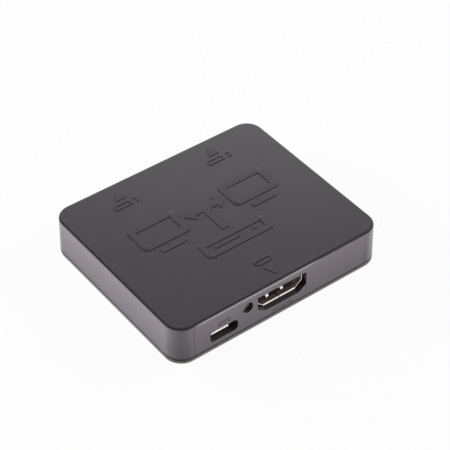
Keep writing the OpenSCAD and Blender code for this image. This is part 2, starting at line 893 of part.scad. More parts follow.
module video_contact_set() {
  color(contact_gold) {
    contact_row(video_contacts, video_pitch)
      contact(video_contact_w, tongue_z + tongue_t - contact_t, tongue_tip, video_back);
    contact_row(video_contacts - 1, video_pitch)
      contact(video_contact_w, tongue_z, tongue_tip, video_back);
  }
}

// Front edge of the power shell's floor, bent down past the edge of the board
module turned_lip() {
  across_x(power_w - 2 * power_slant_w)
    polygon([
      [cut, 0],
      [cut, power_sheet],
      [0, power_sheet],
      [-power_lip, power_sheet - power_lip_drop],
      [-power_lip, -power_lip_drop],
      [0, 0]
    ]);
}

module power_shell() {
  leg_top = power_sheet + power_slant_h + power_sheet;
  color(nickel)
    at_power() {
      socket_tube(power_mouth_outline, power_sheet, power_bend, power_len);
      turned_lip();
      shell_legs(power_w + 2 * power_sheet, power_sheet, power_leg_w, leg_top, [power_leg_at]);
    }
}

module power_block() {
  color(socket_black)
    at_power()
      difference() {
        union() {
          along_y(power_mouth, power_len)
            translate([0, power_sheet])
              polygon(rounded(grown(power_mouth_outline, -block_gap), power_bend));
          translate([-blade_w / 2, blade_tip, blade_z])
            cube([blade_w, power_mouth + cut - blade_tip, blade_t]);
        }
        contact_row(power_contacts, power_pitch)
          contact_groove(power_contact_w, blade_z, blade_tip, power_len);
      }
}

module power_contacts_set() {
  color(contact_gold)
    at_power()
      contact_row(power_contacts, power_pitch)
        contact(power_contact_w, blade_z, blade_tip, power_back);
}

// Domed lens lying along y, with its collar behind
module light_lens() {
  r = light_d / 2;
  color(lens_frost)
    translate([light_x, light_front, light_z])
      rotate([-90, 0, 0])
        rotate_extrude()
          union() {
            intersection() {
              translate([0, r])
                circle(r);
              square(r);
            }
            translate([0, r])
              square([r, light_len - r]);
            translate([0, light_len - light_collar_t])
              square([light_collar_d / 2, light_collar_t]);
          }
}

module light_leads() {
  half = light_lead_t / 2;
  tail = board_z - leg_tail - light_z;
  color(tinned)
    for (side = [-1, 1])
      translate([light_x + side * light_lead_pitch / 2, 0, light_z])
        across_x(light_lead_t)
          polygon([
            [light_back, -half],
            [light_drop_y - half, -half],
            [light_drop_y - half, tail],
            [light_drop_y + half, tail],
            [light_drop_y + half, half],
            [light_back, half]
          ]);
}

// Moulded body of a chip, with a dimple at its first lead
module chip_body(l, w, h) {
  color(chip_black)
    difference() {
      translate([-l / 2, -w / 2, chip_stand])
        cube([l, w, h]);
      translate([dimple_inset - l / 2, dimple_inset - w / 2, chip_stand + h - dimple_h])
        cylinder(d = dimple_d, h = dimple_h + cut);
    }
}

// Gull-wing lead that leaves a body's face at y = 0 and stands on the board
module gull_lead(w, h, reach) {
  level = chip_stand + h / 2;
  knee = reach / 2;
  color(tinned)
    across_x(w)
      polygon([
        [0, level],
        [knee - lead_t, level],
        [knee - lead_t, 0],
        [reach, 0],
        [reach, lead_t],
        [knee, lead_t],
        [knee, level + lead_t],
        [0, level + lead_t]
      ]);
}

module lead_row(count, pitch, from, w, h, reach) {
  for (i = [0:count - 1])
    translate([(i - (count - 1) / 2) * pitch, from, 0])
      gull_lead(w, h, reach);
}

module at_chip() {
  translate([0, 0, board_top])
    children();
}

module splitter_chip() {
  at_chip()
    chip_body(chip_side, chip_side, chip_h);
}

module splitter_chip_leads() {
  at_chip()
    for (a = [0:90:270])
      rotate(a)
        lead_row(chip_leads, chip_pitch, chip_side / 2, chip_lead_w, chip_h, chip_lead_reach);
}

module at_memory() {
  translate([memory_x, memory_y, board_top])
    children();
}

module memory_chip() {
  at_memory()
    chip_body(memory_l, memory_w, memory_h);
}

module memory_chip_leads() {
  at_memory()
    for (a = [0, 180])
      rotate(a)
        lead_row(memory_leads, memory_pitch, memory_w / 2, memory_lead_w, memory_h, memory_lead_reach);
}

module at_regulator(i) {
  translate([regulator_x, regulator_y + i * regulator_pitch, board_top])
    children();
}

module regulator(i) {
  at_regulator(i)
    chip_body(regulator_l, regulator_w, regulator_h);
}

module regulator_leads(i) {
  at_regulator(i) {
    lead_row(1, 0, regulator_w / 2, tab_w, regulator_h, regulator_reach);
    rotate(180)
      lead_row(3, regulator_lead_pitch, regulator_w / 2, regulator_lead_w, regulator_h, regulator_reach);
  }
}

module at_bulk_capacitors() {
  for (i = [0, 1])
    translate([bulk_x, regulator_y + i * regulator_pitch, board_top])
      children();
}

module bulk_capacitor_cans() {
  r = bulk_d / 2;
  base = lead_t + bulk_base_h;
  color(can_silver)
    at_bulk_capacitors()
      rotate_extrude()
        polygon([
          [0, base],
          [r, base],
          [r, base + crimp_at],
          [r - crimp_d, base + crimp_at + crimp_w / 2],
          [r, base + crimp_at + crimp_w],
          each arc([r - bulk_r, bulk_h - bulk_r], bulk_r, 0, 90),
          [0, bulk_h]
        ]);
}

module bulk_capacitor_bases() {
  half = bulk_side / 2;
  color(socket_black)
    at_bulk_capacitors()
      translate([0, 0, lead_t])
        linear_extrude(bulk_base_h)
          polygon([
            [-half, -half],
            [half, -half],
            [half, half - bulk_bevel],
            [half - bulk_bevel, half],
            [bulk_bevel - half, half],
            [-half, half - bulk_bevel]
          ]);
}

module bulk_capacitor_leads() {
  color(tinned)
    at_bulk_capacitors()
      for (side = [0, 180])
        rotate(side)
          translate([-bulk_lead_w / 2, bulk_lead_gap / 2, 0])
            cube([bulk_lead_w, (bulk_side - bulk_lead_gap) / 2 + bulk_lead_out, lead_t]);
}

// Two-ended part lying along x: the middle
module end_capped_body(l, w, h) {
  translate([end_l - l / 2, -w / 2, 0])
    cube([l - 2 * end_l, w, h]);
}

// Two-ended part lying along x: both metal ends
module end_caps(l, w, h) {
  for (side = [-1, 1])
    translate([side * (l - end_l) / 2 - end_l / 2, -w / 2, 0])
      cube([end_l, w, h]);
}

module at_fuse() {
  translate([power_x, fuse_y, board_top])
    children();
}

module resettable_fuse() {
  color(fuse_green)
    at_fuse()
      end_capped_body(fuse_l, fuse_w, fuse_h);
}

module resettable_fuse_ends() {
  color(tinned)
    at_fuse()
      end_caps(fuse_l, fuse_w, fuse_h);
}

// Outline with two straight sides and round ends
module round_ended(l, w, h) {
  translate([-(l - w) / 2, -w / 2, 0])
    cube([l - w, w, h]);
  for (side = [0, 180])
    rotate(side)
      translate([(l - w) / 2, 0, 0])
        rotate(-90)
          rotate_extrude(angle = 180)
            square([w / 2, h]);
}

module at_crystal() {
  translate([crystal_x, crystal_y, board_top + lead_t])
    children();
}

module crystal_can() {
  color(can_silver)
    at_crystal()
      translate([0, 0, carrier_h]) {
        round_ended(crystal_l, crystal_w, crystal_flange_h);
        translate([0, 0, crystal_flange_h])
          round_ended(crystal_l - 2 * crystal_step, crystal_w - 2 * crystal_step, crystal_can_h);
      }
}

module crystal_carrier() {
  l = crystal_l + 2 * carrier_rim;
  w = crystal_w + 2 * carrier_rim;
  color(socket_black)
    at_crystal()
      translate([-l / 2, -w / 2, 0])
        cube([l, w, carrier_h]);
}

module crystal_leads() {
  color(tinned)
    at_crystal()
      for (side = [0, 180])
        rotate(side)
          translate([crystal_l / 2 + carrier_rim - crystal_lead_in, -crystal_lead_w / 2, -lead_t])
            cube([crystal_lead_in + crystal_lead_out, crystal_lead_w, lead_t]);
}

// Row of resistors behind every video socket
module at_rows() {
  for (port = [[0, -1], [-output_pitch / 2, 1], [output_pitch / 2, 1]])
    for (i = [0:row_count - 1])
      translate([port[0] + (i - (row_count - 1) / 2) * row_pitch, port[1] * row_y, board_top])
        rotate(90)
          children();
}

module chip_resistors() {
  color(resistor_black)
    at_rows()
      end_capped_body(small_l, small_w, resistor_h);
}

module chip_resistor_ends() {
  color(tinned)
    at_rows()
      end_caps(small_l, small_w, resistor_h);
}

// Ceramic capacitors round the splitter chip
module at_ring() {
  for (a = [0:90:270])
    rotate(a)
      for (i = [0:ring_count - 1])
        translate([(i - (ring_count - 1) / 2) * ring_pitch, ring_at, board_top])
          children();
}

module ceramic_capacitors() {
  color(ceramic_tan)
    at_ring()
      end_capped_body(small_l, small_w, ceramic_h);
}

module ceramic_capacitor_ends() {
  color(tinned)
    at_ring()
      end_caps(small_l, small_w, ceramic_h);
}

top_shell();
base_cover();
case_screws();
circuit_board();
at_input() video_shell();  // video_in_shell
at_input() video_block();  // video_in_block
at_input() video_contact_set();  // video_in_contacts
at_output(-1) video_shell();  // video_out_1_shell
at_output(-1) video_block();  // video_out_1_block
at_output(-1) video_contact_set();  // video_out_1_contacts
at_output(1) video_shell();  // video_out_2_shell
at_output(1) video_block();  // video_out_2_block
at_output(1) video_contact_set();  // video_out_2_contacts
power_shell();
power_block();
power_contacts_set();
light_lens();
light_leads();
splitter_chip();
splitter_chip_leads();
memory_chip();
memory_chip_leads();
regulator(0);  // regulator_1
regulator_leads(0);  // regulator_1_leads
regulator(1);  // regulator_2
regulator_leads(1);  // regulator_2_leads
bulk_capacitor_cans();
bulk_capacitor_bases();
bulk_capacitor_leads();
resettable_fuse();
resettable_fuse_ends();
crystal_can();
crystal_carrier();
crystal_leads();
chip_resistors();
chip_resistor_ends();
ceramic_capacitors();
ceramic_capacitor_ends();
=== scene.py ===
# %% [markdown]
# # A flat video splitter, dressed for its photograph
# The real object is a flat box of black plastic that fits in a hand, with a video socket, a small power
# socket and a status light in its near side and two more video sockets in its far side. The solids come
# from the CAD model and stay where they are. This lesson gives them their finishes, and remakes the
# pieces whose edges, signs and threads are too fine for plain solids.

# %% Load the solids
import json
import math

import bmesh
import bpy
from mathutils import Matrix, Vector


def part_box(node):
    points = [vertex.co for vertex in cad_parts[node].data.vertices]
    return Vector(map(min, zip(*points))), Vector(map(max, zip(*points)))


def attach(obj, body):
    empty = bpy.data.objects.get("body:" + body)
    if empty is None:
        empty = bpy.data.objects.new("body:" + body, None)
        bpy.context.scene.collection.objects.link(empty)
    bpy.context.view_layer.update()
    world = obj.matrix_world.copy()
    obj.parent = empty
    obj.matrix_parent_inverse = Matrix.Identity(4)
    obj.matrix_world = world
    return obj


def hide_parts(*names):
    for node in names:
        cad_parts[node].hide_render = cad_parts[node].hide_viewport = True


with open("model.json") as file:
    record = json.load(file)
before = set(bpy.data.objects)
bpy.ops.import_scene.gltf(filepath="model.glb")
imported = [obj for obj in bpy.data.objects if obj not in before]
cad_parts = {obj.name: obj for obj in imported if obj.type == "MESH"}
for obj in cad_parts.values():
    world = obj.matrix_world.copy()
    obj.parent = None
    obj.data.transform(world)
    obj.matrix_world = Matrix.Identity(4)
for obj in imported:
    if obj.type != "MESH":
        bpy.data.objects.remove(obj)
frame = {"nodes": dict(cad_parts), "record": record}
scene = bpy.context.scene
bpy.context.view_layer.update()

# %% [markdown]
# ## Sizes
# Everything is measured in metres, so one millimetre gets a name. The places of the case, the board and
# the sockets are read off the loaded solids, so that they follow the CAD model. What a box can't tell,
# such as a corner radius or the lean of the walls, is written down once here.

# %% Measure the case
MM = 0.001


def in_mm(length):
    return round(length / MM, 2)


base_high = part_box("base_cover")[1]
shell_low, shell_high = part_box("top_shell")
board_low, board_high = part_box("circuit_board")
video_low, video_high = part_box("video_in_shell")
power_low, power_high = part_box("power_shell")
light_low, light_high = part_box("light_lens")
screw_low, screw_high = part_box("case_screws")

half_w = base_high.x
half_d = base_high.y
height = shell_high.z
parting_z = shell_low.z
board_under = board_low.z
board_top = board_high.z

corner_r = 5 * MM
edge_r = 0.6 * MM
foot_r = 0.7 * MM
draft = 0.25 * MM
wall_t = 1.5 * MM
roof_t = 1.5 * MM
seam_h = 0.2 * MM
seam_d = 0.5 * MM

inside_w = half_w - draft - wall_t
inside_d = half_d - draft - wall_t
inside_r = corner_r - draft - wall_t
roof_z = height - roof_t
over_cut = 0.5 * MM
print("case", in_mm(2 * half_w), "x", in_mm(2 * half_d), "x", in_mm(height), "mm")

# %% [markdown]
# ## Outlines
# A moulded case is a stack of outlines: the same rounded rectangle, a little smaller at each height.
# Blender could bevel a cube into that shape, but a bevel can't follow walls that lean. Here each outline
# is a short list of points, and the same few helpers also draw the signs and the mouths of the sockets.

# %% Helpers for outlines
def rounded_outline(half_x, half_y, radius, steps=20):
    """Points of a rounded rectangle, anticlockwise."""
    points = []
    for corner, (side_x, side_y) in enumerate(((1, 1), (-1, 1), (-1, -1), (1, -1))):
        for step in range(steps + 1):
            angle = math.radians(90 * (corner + step / steps))
            x = side_x * (half_x - radius) + radius * math.cos(angle)
            y = side_y * (half_y - radius) + radius * math.sin(angle)
            points.append(Vector((x, y)))
    return points


def corners_of(outline):
    """Each point of a closed outline with the points before and after it."""
    return zip(outline[-1:] + outline[:-1], outline, outline[1:] + outline[:1])


def grown(outline, margin):
    """The outline moved outwards by margin, with mitred corners."""
    moved = []
    for before, point, after in corners_of(outline):
        run = (point - before).normalized() + (after - point).normalized()
        outward = Vector((run.y, -run.x))
        moved.append(point + outward * (2 * margin / outward.length_squared))
    return moved


def softened(outline, radius, steps=5):
    """The outline with every corner turned into an arc."""
    soft = []
    for before, point, after in corners_of(outline):
        back, on = (before - point).normalized(), (after - point).normalized()
        half = back.angle(on) / 2
        centre = point + (back + on).normalized() * (radius / math.sin(half))
        start = point + back * (radius / math.tan(half)) - centre
        end = point + on * (radius / math.tan(half)) - centre
        soft += [centre + radius * start.lerp(end, step / steps).normalized() for step in range(steps + 1)]
    return soft


def moved_to(outline, x, y):
    return [point + Vector((x, y)) for point in outline]


print("a rounded outline has", len(rounded_outline(half_w, half_d, corner_r)), "points")

# %% [markdown]
# ## Solids from rings
# Rings of points, joined point by point and closed at the ends, make a solid. Solids are then added to
# each other or cut out of each other with a Boolean. The manifold solver is used: it is quick, closed
# solids go in, and a closed solid comes out. Points that all but coincide are welded after each step, so
# that no sliver of a face is left.

# %% Helpers for meshes
weld_gap = 0.0005 * MM


def add_loft(bm, rings, ring_shaped=False):
    """Joins closed rings into a solid: capped at both ends, or joined back to the first ring."""
    loops = [[bm.verts.new(point) for point in ring] for ring in rings]
    pairs = list(zip(loops, loops[1:]))
    if ring_shaped:
        pairs.append((loops[-1], loops[0]))
    faces = []
    for low, high in pairs:
        for i, vert in enumerate(low):
            faces.append(bm.faces.new((vert, low[i - 1], high[i - 1], high[i])))
    if not ring_shaped:
        faces.append(bm.faces.new(loops[0]))
        faces.append(bm.faces.new(loops[-1]))
    bmesh.ops.recalc_face_normals(bm, faces=faces)


def new_piece(name, bm):
    mesh = bpy.data.meshes.new(name)
    bm.to_mesh(mesh)
    bm.free()
    piece = bpy.data.objects.new(name, mesh)
    scene.collection.objects.link(piece)
    return piece


def combine(piece, bm, operation):
    """Adds the solids in bm to the piece, or cuts them out of it, and welds what all but coincides."""
    tool = new_piece("tool", bm)
    step = piece.modifiers.new("combine", "BOOLEAN")
    step.operation = operation
    step.solver = "MANIFOLD"
    step.object = tool
    whole = piece.evaluated_get(bpy.context.evaluated_depsgraph_get())
    made = bpy.data.meshes.new_from_object(whole)
    welded = bmesh.new()
    welded.from_mesh(made)
    bmesh.ops.remove_doubles(welded, verts=welded.verts, dist=weld_gap)
    bmesh.ops.dissolve_degenerate(welded, edges=welded.edges, dist=weld_gap)
    welded.to_mesh(made)
    welded.free()
    piece.modifiers.clear()
    piece.data = made
    bpy.data.objects.remove(tool)


def report(piece):
    print(piece.name, "has", len(piece.data.polygons), "faces")


def smooth_over(piece, crease=28):
    """Shades the piece smooth, except at edges sharper than the crease angle in degrees, and reports it."""
    piece.data.polygons.foreach_set("use_smooth", [True] * len(piece.data.polygons))
    piece.data.set_sharp_from_angle(angle=math.radians(crease))
    even = piece.modifiers.new("even normals", "WEIGHTED_NORMAL")
    even.keep_sharp = True
    report(piece)
    return piece


def at_height(outline, z):
    return [Vector((point.x, point.y, z)) for point in outline]


print("points within", weld_gap / MM, "mm of each other are welded")

# %% [markdown]
# ## Upper case: the skin
# The upper half of the case is one moulding: four walls that lean in a quarter of a millimetre so that it
# leaves its mould, a small radius round the top, and a step at the bottom that leaves a thin shadow gap
# over the base cover. The skin is lofted first as a solid block, because a block is easy to check.

# %% Loft the outside of the upper case
def lean_at(z):
    """How far the walls lean in at height z."""
    return draft * (z - parting_z) / (height - parting_z)


def case_ring(inset, z):
    return at_height(rounded_outline(half_w - inset, half_d - inset, corner_r - inset), z)


lean = math.atan(draft / (height - parting_z))
edge_z = height - edge_r
edge_inset = lean_at(edge_z) + edge_r / math.cos(lean)
edge_steps = 8
lip_ease = 0.06 * MM
lip_z = parting_z + seam_h

skin_rings = [
    case_ring(seam_d, parting_z),
    case_ring(seam_d, lip_z),
    case_ring(lean_at(lip_z) + lip_ease, lip_z),
    case_ring(lean_at(lip_z + lip_ease), lip_z + lip_ease),
]
for step in range(edge_steps + 1):
    angle = lean + (math.pi / 2 - lean) * step / edge_steps
    skin_rings.append(case_ring(edge_inset - edge_r * math.cos(angle), edge_z + edge_r * math.sin(angle)))

skin = bmesh.new()
add_loft(skin, skin_rings)
upper_case = new_piece("upper_case", skin)
report(upper_case)

# %% [markdown]
# ## Upper case: the inside
# Under the roof the real moulding is hollow, with four posts for the screws and thin ribs that press on
# the sockets. They could be drawn as one shape, but each is a plain solid here, cut out or added on its
# own, so that one can be changed without the others.

# %% Measure the posts and ribs
post_r = 2.4 * MM
post_gap = 0.8 * MM
gusset_t = 1 * MM
gusset_h = 4 * MM
bore_r = 1.05 * MM
bore_top = 8.9 * MM
rib_t = 0.8 * MM
rib_pitch = 10 * MM
rib_gap = 0.1 * MM
rib_length = 8.1 * MM

post_room = inside_r - post_r - post_gap
post_shift = min(post_room, post_room / math.sqrt(2))
post_x = inside_w - inside_r + post_shift
post_y = inside_d - inside_r + post_shift
post_places = [(side * post_x, end * post_y) for side in (-1, 1) for end in (-1, 1)]
video_side = {"video_in": -1, "video_out_1": 1, "video_out_2": 1}
video_x = {name: sum(corner.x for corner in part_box(name + "_shell")) / 2 for name in video_side}


def circle(radius, x=0, y=0, steps=32):
    turns = [2 * math.pi * step / steps for step in range(steps)]
    return moved_to([Vector((radius * math.cos(turn), radius * math.sin(turn))) for turn in turns], x, y)


def rectangle(half_x, half_y):
    points = ((half_x, half_y), (-half_x, half_y), (-half_x, -half_y), (half_x, -half_y))
    return [Vector(point) for point in points]


def inside_outline(inset=0):
    return rounded_outline(inside_w - inset, inside_d - inset, inside_r - inset)


def add_upright(bm, outline, low, high):
    add_loft(bm, [at_height(outline, low), at_height(outline, high)])


print("posts at", in_mm(post_x), "and", in_mm(post_y), "mm from the middle")

# %% Hollow the case and add posts and ribs
cavity = bmesh.new()
add_upright(cavity, inside_outline(), parting_z - over_cut, roof_z)
combine(upper_case, cavity, "DIFFERENCE")

into_roof = roof_z + roof_t / 2
into_wall = wall_t / 2
posts, gussets_across, gussets_along, bores, ribs = (bmesh.new() for _ in range(5))
for x, y in post_places:
    add_upright(posts, circle(post_r, x, y), board_top, into_roof)
    add_upright(bores, circle(bore_r, x, y), board_top - over_cut, bore_top)
    wall_x = math.copysign(inside_w + into_wall, x)
    wall_y = math.copysign(inside_d + into_wall, y)
    across = moved_to(rectangle(abs(wall_x - x) / 2, gusset_t / 2), (wall_x + x) / 2, y)
    along = moved_to(rectangle(gusset_t / 2, abs(wall_y - y) / 2), x, (wall_y + y) / 2)
    add_upright(gussets_across, across, roof_z - gusset_h, into_roof)
    add_upright(gussets_along, along, roof_z - gusset_h, into_roof)

rib_middle = inside_d + into_wall - (rib_length + into_wall) / 2
for name, x in video_x.items():
    for side in (-1, 1):
        outline = rectangle(rib_t / 2, (rib_length + into_wall) / 2)
        place = moved_to(outline, x + side * rib_pitch / 2, video_side[name] * rib_middle)
        add_upright(ribs, place, video_high.z + rib_gap, into_roof)

for solids in (posts, gussets_across, gussets_along, ribs):
    combine(upper_case, solids, "UNION")
combine(upper_case, bores, "DIFFERENCE")
report(upper_case)

# %% [markdown]
# ## Upper case: openings for the sockets and the light
# The walls are pierced by tool steel that leaves a crisp opening with a slightly broken edge. A cutting
# tool is lofted along its depth: wide where it meets the wall's face, then its true size. A plain Boolean
# with a box could do, but here the tool follows the lean of its wall.

# %% Cut the openings
def on_front(u, v, depth):
    return Vector((u, -half_d + lean_at(v) + depth, v))


def on_back(u, v, depth):
    """The far side as someone facing it sees it, so u runs from right to left of the case."""
    return Vector((-u, half_d - lean_at(v) - depth, v))


def add_cut(bm, outline, face, depth, ease):
    """A tool that sinks the outline into a face, with its rim eased."""
    levels = ((-over_cut, ease), (0, ease), (ease / 3, ease / 3), (ease, 0), (depth, 0))
    add_loft(bm, [[face(p.x, p.y, level) for p in grown(outline, wider)] for level, wider in levels])


def mouth(width, tall, slant_w, slant_h):
    """A socket's mouth: flat floor, two slanted lower corners, straight sides."""
    half = width / 2
    flat = half - slant_w
    points = ((half, tall), (-half, tall), (-half, slant_h), (-flat, 0), (flat, 0), (half, slant_h))
    return [Vector(point) for point in points]


through_wall = draft + wall_t + over_cut
opening_ease = 0.08 * MM

mouth_side_gap = 0.35 * MM
mouth_edge_gap = 0.12 * MM
mouth_slant = (2.5 * MM, 1.5 * MM)
mouth_r = 0.25 * MM
video_w = video_high.x - video_low.x + 2 * mouth_side_gap
video_h = video_high.z - board_top + 2 * mouth_edge_gap
video_opening = softened(mouth(video_w, video_h, *mouth_slant), mouth_r)

power_x = (power_low.x + power_high.x) / 2
inlet_w = 8.45 * MM
inlet_r = 1.15 * MM
inlet_drop = 1.05 * MM
inlet_trim = 0.1 * MM
inlet_low = board_top - inlet_drop
inlet_high = power_high.z - inlet_trim
inlet_z = (inlet_low + inlet_high) / 2
inlet = softened(rectangle(inlet_w / 2, (inlet_high - inlet_low) / 2), inlet_r, steps=8)

light_x = (light_low.x + light_high.x) / 2
light_z = (light_low.z + light_high.z) / 2
light_hole_r = 1.5 * MM

openings = bmesh.new()
for name, x in video_x.items():
    face = on_front if video_side[name] < 0 else on_back
    place = moved_to(video_opening, -video_side[name] * x, board_top - mouth_edge_gap)
    add_cut(openings, place, face, through_wall, opening_ease)
add_cut(openings, moved_to(inlet, power_x, inlet_z), on_front, through_wall, opening_ease)
add_cut(openings, circle(light_hole_r, light_x, light_z), on_front, through_wall, opening_ease)
combine(upper_case, openings, "DIFFERENCE")
print("video openings", in_mm(video_w), "x", in_mm(video_h), "mm")

# %% [markdown]
# ## Upper case: raised signs
# Such a box carries its signs in the moulding. They are sunk into the mould by sparks, so on the box they
# stand a little above the roof and have rough tops. A triangle and the shape of the socket mark each
# socket, the outputs are numbered, and a picture says what the box does: one player feeds two screens.
# Painted signs would look flat when light rakes across the roof, so these are solids with an eased rim.

# %% Draw the signs
sign_soft = 0.15 * MM


def millimetres(points):
    return [Vector(point) * MM for point in points]


def bar(half_x, half_y, x, y, radius=0.15):
    """A bar with rounded corners, all in millimetres."""
    return moved_to(softened(rectangle(half_x * MM, half_y * MM), radius * MM, steps=3), x * MM, y * MM)


def turned(outline):
    """The outline turned half round."""
    return [-point for point in outline]


pointer = softened(millimetres(((-1.72, 0), (1.72, 0), (0, 3.45))), 0.12 * MM, steps=3)
one = millimetres(((-0.1, 0), (0.3, 0), (0.3, 1.9), (-0.05, 1.9), (-0.5, 1.5), (-0.3, 1.22), (-0.1, 1.4)))
two = millimetres((
    (-0.62, 0), (0.65, 0), (0.65, 0.36), (-0.05, 0.36), (0.5, 0.92), (0.62, 1.3), (0.5, 1.68), (0.2, 1.88),
    (-0.2, 1.88), (-0.5, 1.68), (-0.62, 1.34), (-0.25, 1.3), (-0.15, 1.5), (0.0, 1.55), (0.16, 1.48),
    (0.22, 1.28), (0.12, 1.06), (-0.62, 0.32),
))
split_arrow = softened(millimetres((
    (1.1, -4.4), (1.1, 3.9), (3.7, 3.9), (3.7, 2.3), (6.3, 5), (3.7, 7.7), (3.7, 6.1),
    (-3.7, 6.1), (-3.7, 7.7), (-6.3, 5), (-3.7, 2.3), (-3.7, 3.9), (-1.1, 3.9), (-1.1, -4.4),
)), sign_soft, steps=3)
screen_foot = softened(millimetres((
    (-3.8, -2.3), (3.8, -2.3), (3.8, -0.9), (1.1, -0.9),
    (1.1, -0.15), (-1.1, -0.15), (-1.1, -0.9), (-3.8, -0.9),
)), sign_soft, steps=3)
screen_out = rounded_outline(7.2 * MM, 4.6 * MM, 1.3 * MM, steps=6)
screen_in = rounded_outline(5.3 * MM, 2.7 * MM, 0.4 * MM, steps=6)
player_out = rounded_outline(10.2 * MM, 2.8 * MM, 1 * MM, steps=6)
player_in = rounded_outline(8.6 * MM, 1.2 * MM, 0.3 * MM, steps=6)
player_slot = bar(3.9, 0.45, -2.8, -8.5)
player_button = circle(0.7 * MM, steps=20)
socket_sign = mouth(5.2 * MM, 1.9 * MM, 0.8 * MM, 0.7 * MM)
socket_line = 0.42 * MM
socket_hole = grown(socket_sign, -socket_line)
print("the arrow is drawn with", len(split_arrow), "points")

# %% Raise the signs on the roof
sign_height = 0.14 * MM
sign_ease = 0.05 * MM
sign_root = 0.4 * MM
screen_x = 14.3 * MM
screen_y = 5 * MM
player_y = -8.5 * MM
button_x = 5.9 * MM
output_x = video_x["video_out_2"]
output_pointer_y = 20.65 * MM
output_sign_x = -1.1 * MM
output_sign_y = 19.5 * MM
number_x = 3.1 * MM
number_y = 17.6 * MM
input_pointer_y = -21.85 * MM
input_sign_y = -20.5 * MM

roof_signs = bmesh.new()
sign_levels = (
    (-sign_root, 0),
    (sign_height - sign_ease, 0),
    (sign_height - sign_ease / 3, -sign_ease / 3),
    (sign_height, -sign_ease),
)


def emboss(outline, x=0, y=0, island=None):
    """Adds a low plateau to the roof, with its rim eased; inside an island the roof stays bare."""
    rings = [at_height(moved_to(grown(outline, wider), x, y), height + up) for up, wider in sign_levels]
    if island:
        for up, wider in reversed(sign_levels):
            rings.append(at_height(moved_to(grown(island, -wider), x, y), height + up))
    add_loft(roof_signs, rings, ring_shaped=bool(island))


for side, number in ((-1, one), (1, two)):
    emboss(pointer, side * output_x, output_pointer_y)
    emboss(turned(socket_sign), side * output_x + output_sign_x, output_sign_y, turned(socket_hole))
    emboss(number, side * output_x + number_x, number_y)
    emboss(screen_out, side * screen_x, screen_y, screen_in)
    emboss(screen_foot, side * screen_x)
emboss(turned(pointer), 0, input_pointer_y)
emboss(socket_sign, 0, input_sign_y, socket_hole)
emboss(split_arrow)
emboss(player_out, 0, player_y, player_in)
emboss(player_slot)
emboss(player_button, button_x, player_y)
combine(upper_case, roof_signs, "UNION")
report(upper_case)

# %% [markdown]
# ## Upper case: small signs and mould lines
# The sides carry smaller signs, which are sunk: a solid line over a broken one for direct current, above
# the power socket, a triangle between two lines under the input, and the numbers again under the outputs.
# A hairline runs up the wall near each corner, where a sliding part of the mould met the rest. All are
# cut like the openings.

# %% Cut the side signs and the mould lines
side_depth = 0.12 * MM
side_ease = 0.03 * MM
side_sign_z = 2.15
side_line = 0.18
side_line_r = 0.1
solid_line_z = 8.35
broken_line_z = 7.6
dash_pitch = 1.44
small_scale = 0.55
small_pointer = millimetres(((-0.85, 0), (0.85, 0), (0, 1.25)))
witness_x = 27.1
witness_low = 1.75
witness_high = 10.9
witness_half = (witness_high - witness_low) / 2
power_mm = power_x / MM

side_signs = bmesh.new()


def sink(outline, face):
    add_cut(side_signs, outline, face, side_depth, side_ease)


sink(bar(1.9, side_line, power_mm, solid_line_z, side_line_r), on_front)
for dash in (-1, 0, 1):
    sink(bar(0.46, side_line, power_mm + dash_pitch * dash, broken_line_z, side_line_r), on_front)
for side in (-1, 1):
    sink(bar(0.95, side_line, 2.2 * side, side_sign_z + 0.55, side_line_r), on_front)
sink(moved_to(small_pointer, 0, side_sign_z * MM), on_front)
for side, number in ((1, one), (-1, two)):
    small = [point * small_scale for point in number]
    sink(moved_to(small, side * output_x, side_sign_z * MM), on_back)
for side, witness_w, witness_d in ((-1, 0.065, 0.09), (1, 0.025, 0.03)):
    line = bar(witness_w, witness_half, side * witness_x, witness_low + witness_half, 0.4 * witness_w)
    for face in (on_front, on_back):
        add_cut(side_signs, line, face, witness_d * MM, witness_d * MM / 3)
combine(upper_case, side_signs, "DIFFERENCE")
smooth_over(upper_case)

# %% [markdown]
# ## Base cover
# The base is a shallow tray: a plate with a rounded foot, a thin lip that finds its place inside the
# walls, and four bosses with sunk seats for the screw heads. It is made the same way, from rings and a
# few cuts.

# %% Make the base cover
lip_gap = 0.15 * MM
lip_t = 1 * MM
boss_r = 2.7 * MM
seat_r = 2.1 * MM
seat_z = 1.4 * MM
shank_hole_r = 1.2 * MM
foot_steps = 8
base_ease = 0.05 * MM

base_rings = []
for step in range(foot_steps + 1):
    angle = math.pi / 2 * step / foot_steps
    base_rings.append(case_ring(foot_r - foot_r * math.sin(angle), foot_r - foot_r * math.cos(angle)))
base_rings.append(case_ring(0, parting_z - base_ease))
base_rings.append(case_ring(base_ease, parting_z))
tray = bmesh.new()
add_loft(tray, base_rings)
lower_case = new_piece("lower_case", tray)

lip_out = inside_outline(lip_gap)
lip_in = inside_outline(lip_gap + lip_t)
lip_foot = parting_z / 2
lip, bosses, seats, shank_holes = (bmesh.new() for _ in range(4))
add_loft(lip, [at_height(lip_out, lip_foot), at_height(lip_out, board_under),
               at_height(lip_in, board_under), at_height(lip_in, lip_foot)], ring_shaped=True)
seat_ease = 0.1 * MM
seat_levels = ((-over_cut, seat_ease), (0, seat_ease), (seat_ease, 0), (seat_z, 0))
for x, y in post_places:
    add_upright(bosses, circle(boss_r, x, y), lip_foot, board_under)
    add_loft(seats, [at_height(circle(seat_r + wider, x, y), z) for z, wider in seat_levels])
    add_upright(shank_holes, circle(shank_hole_r, x, y), 0, board_under + over_cut)
for solids in (lip, bosses):
    combine(lower_case, solids, "UNION")
for solids in (seats, shank_holes):
    combine(lower_case, solids, "DIFFERENCE")
smooth_over(lower_case)

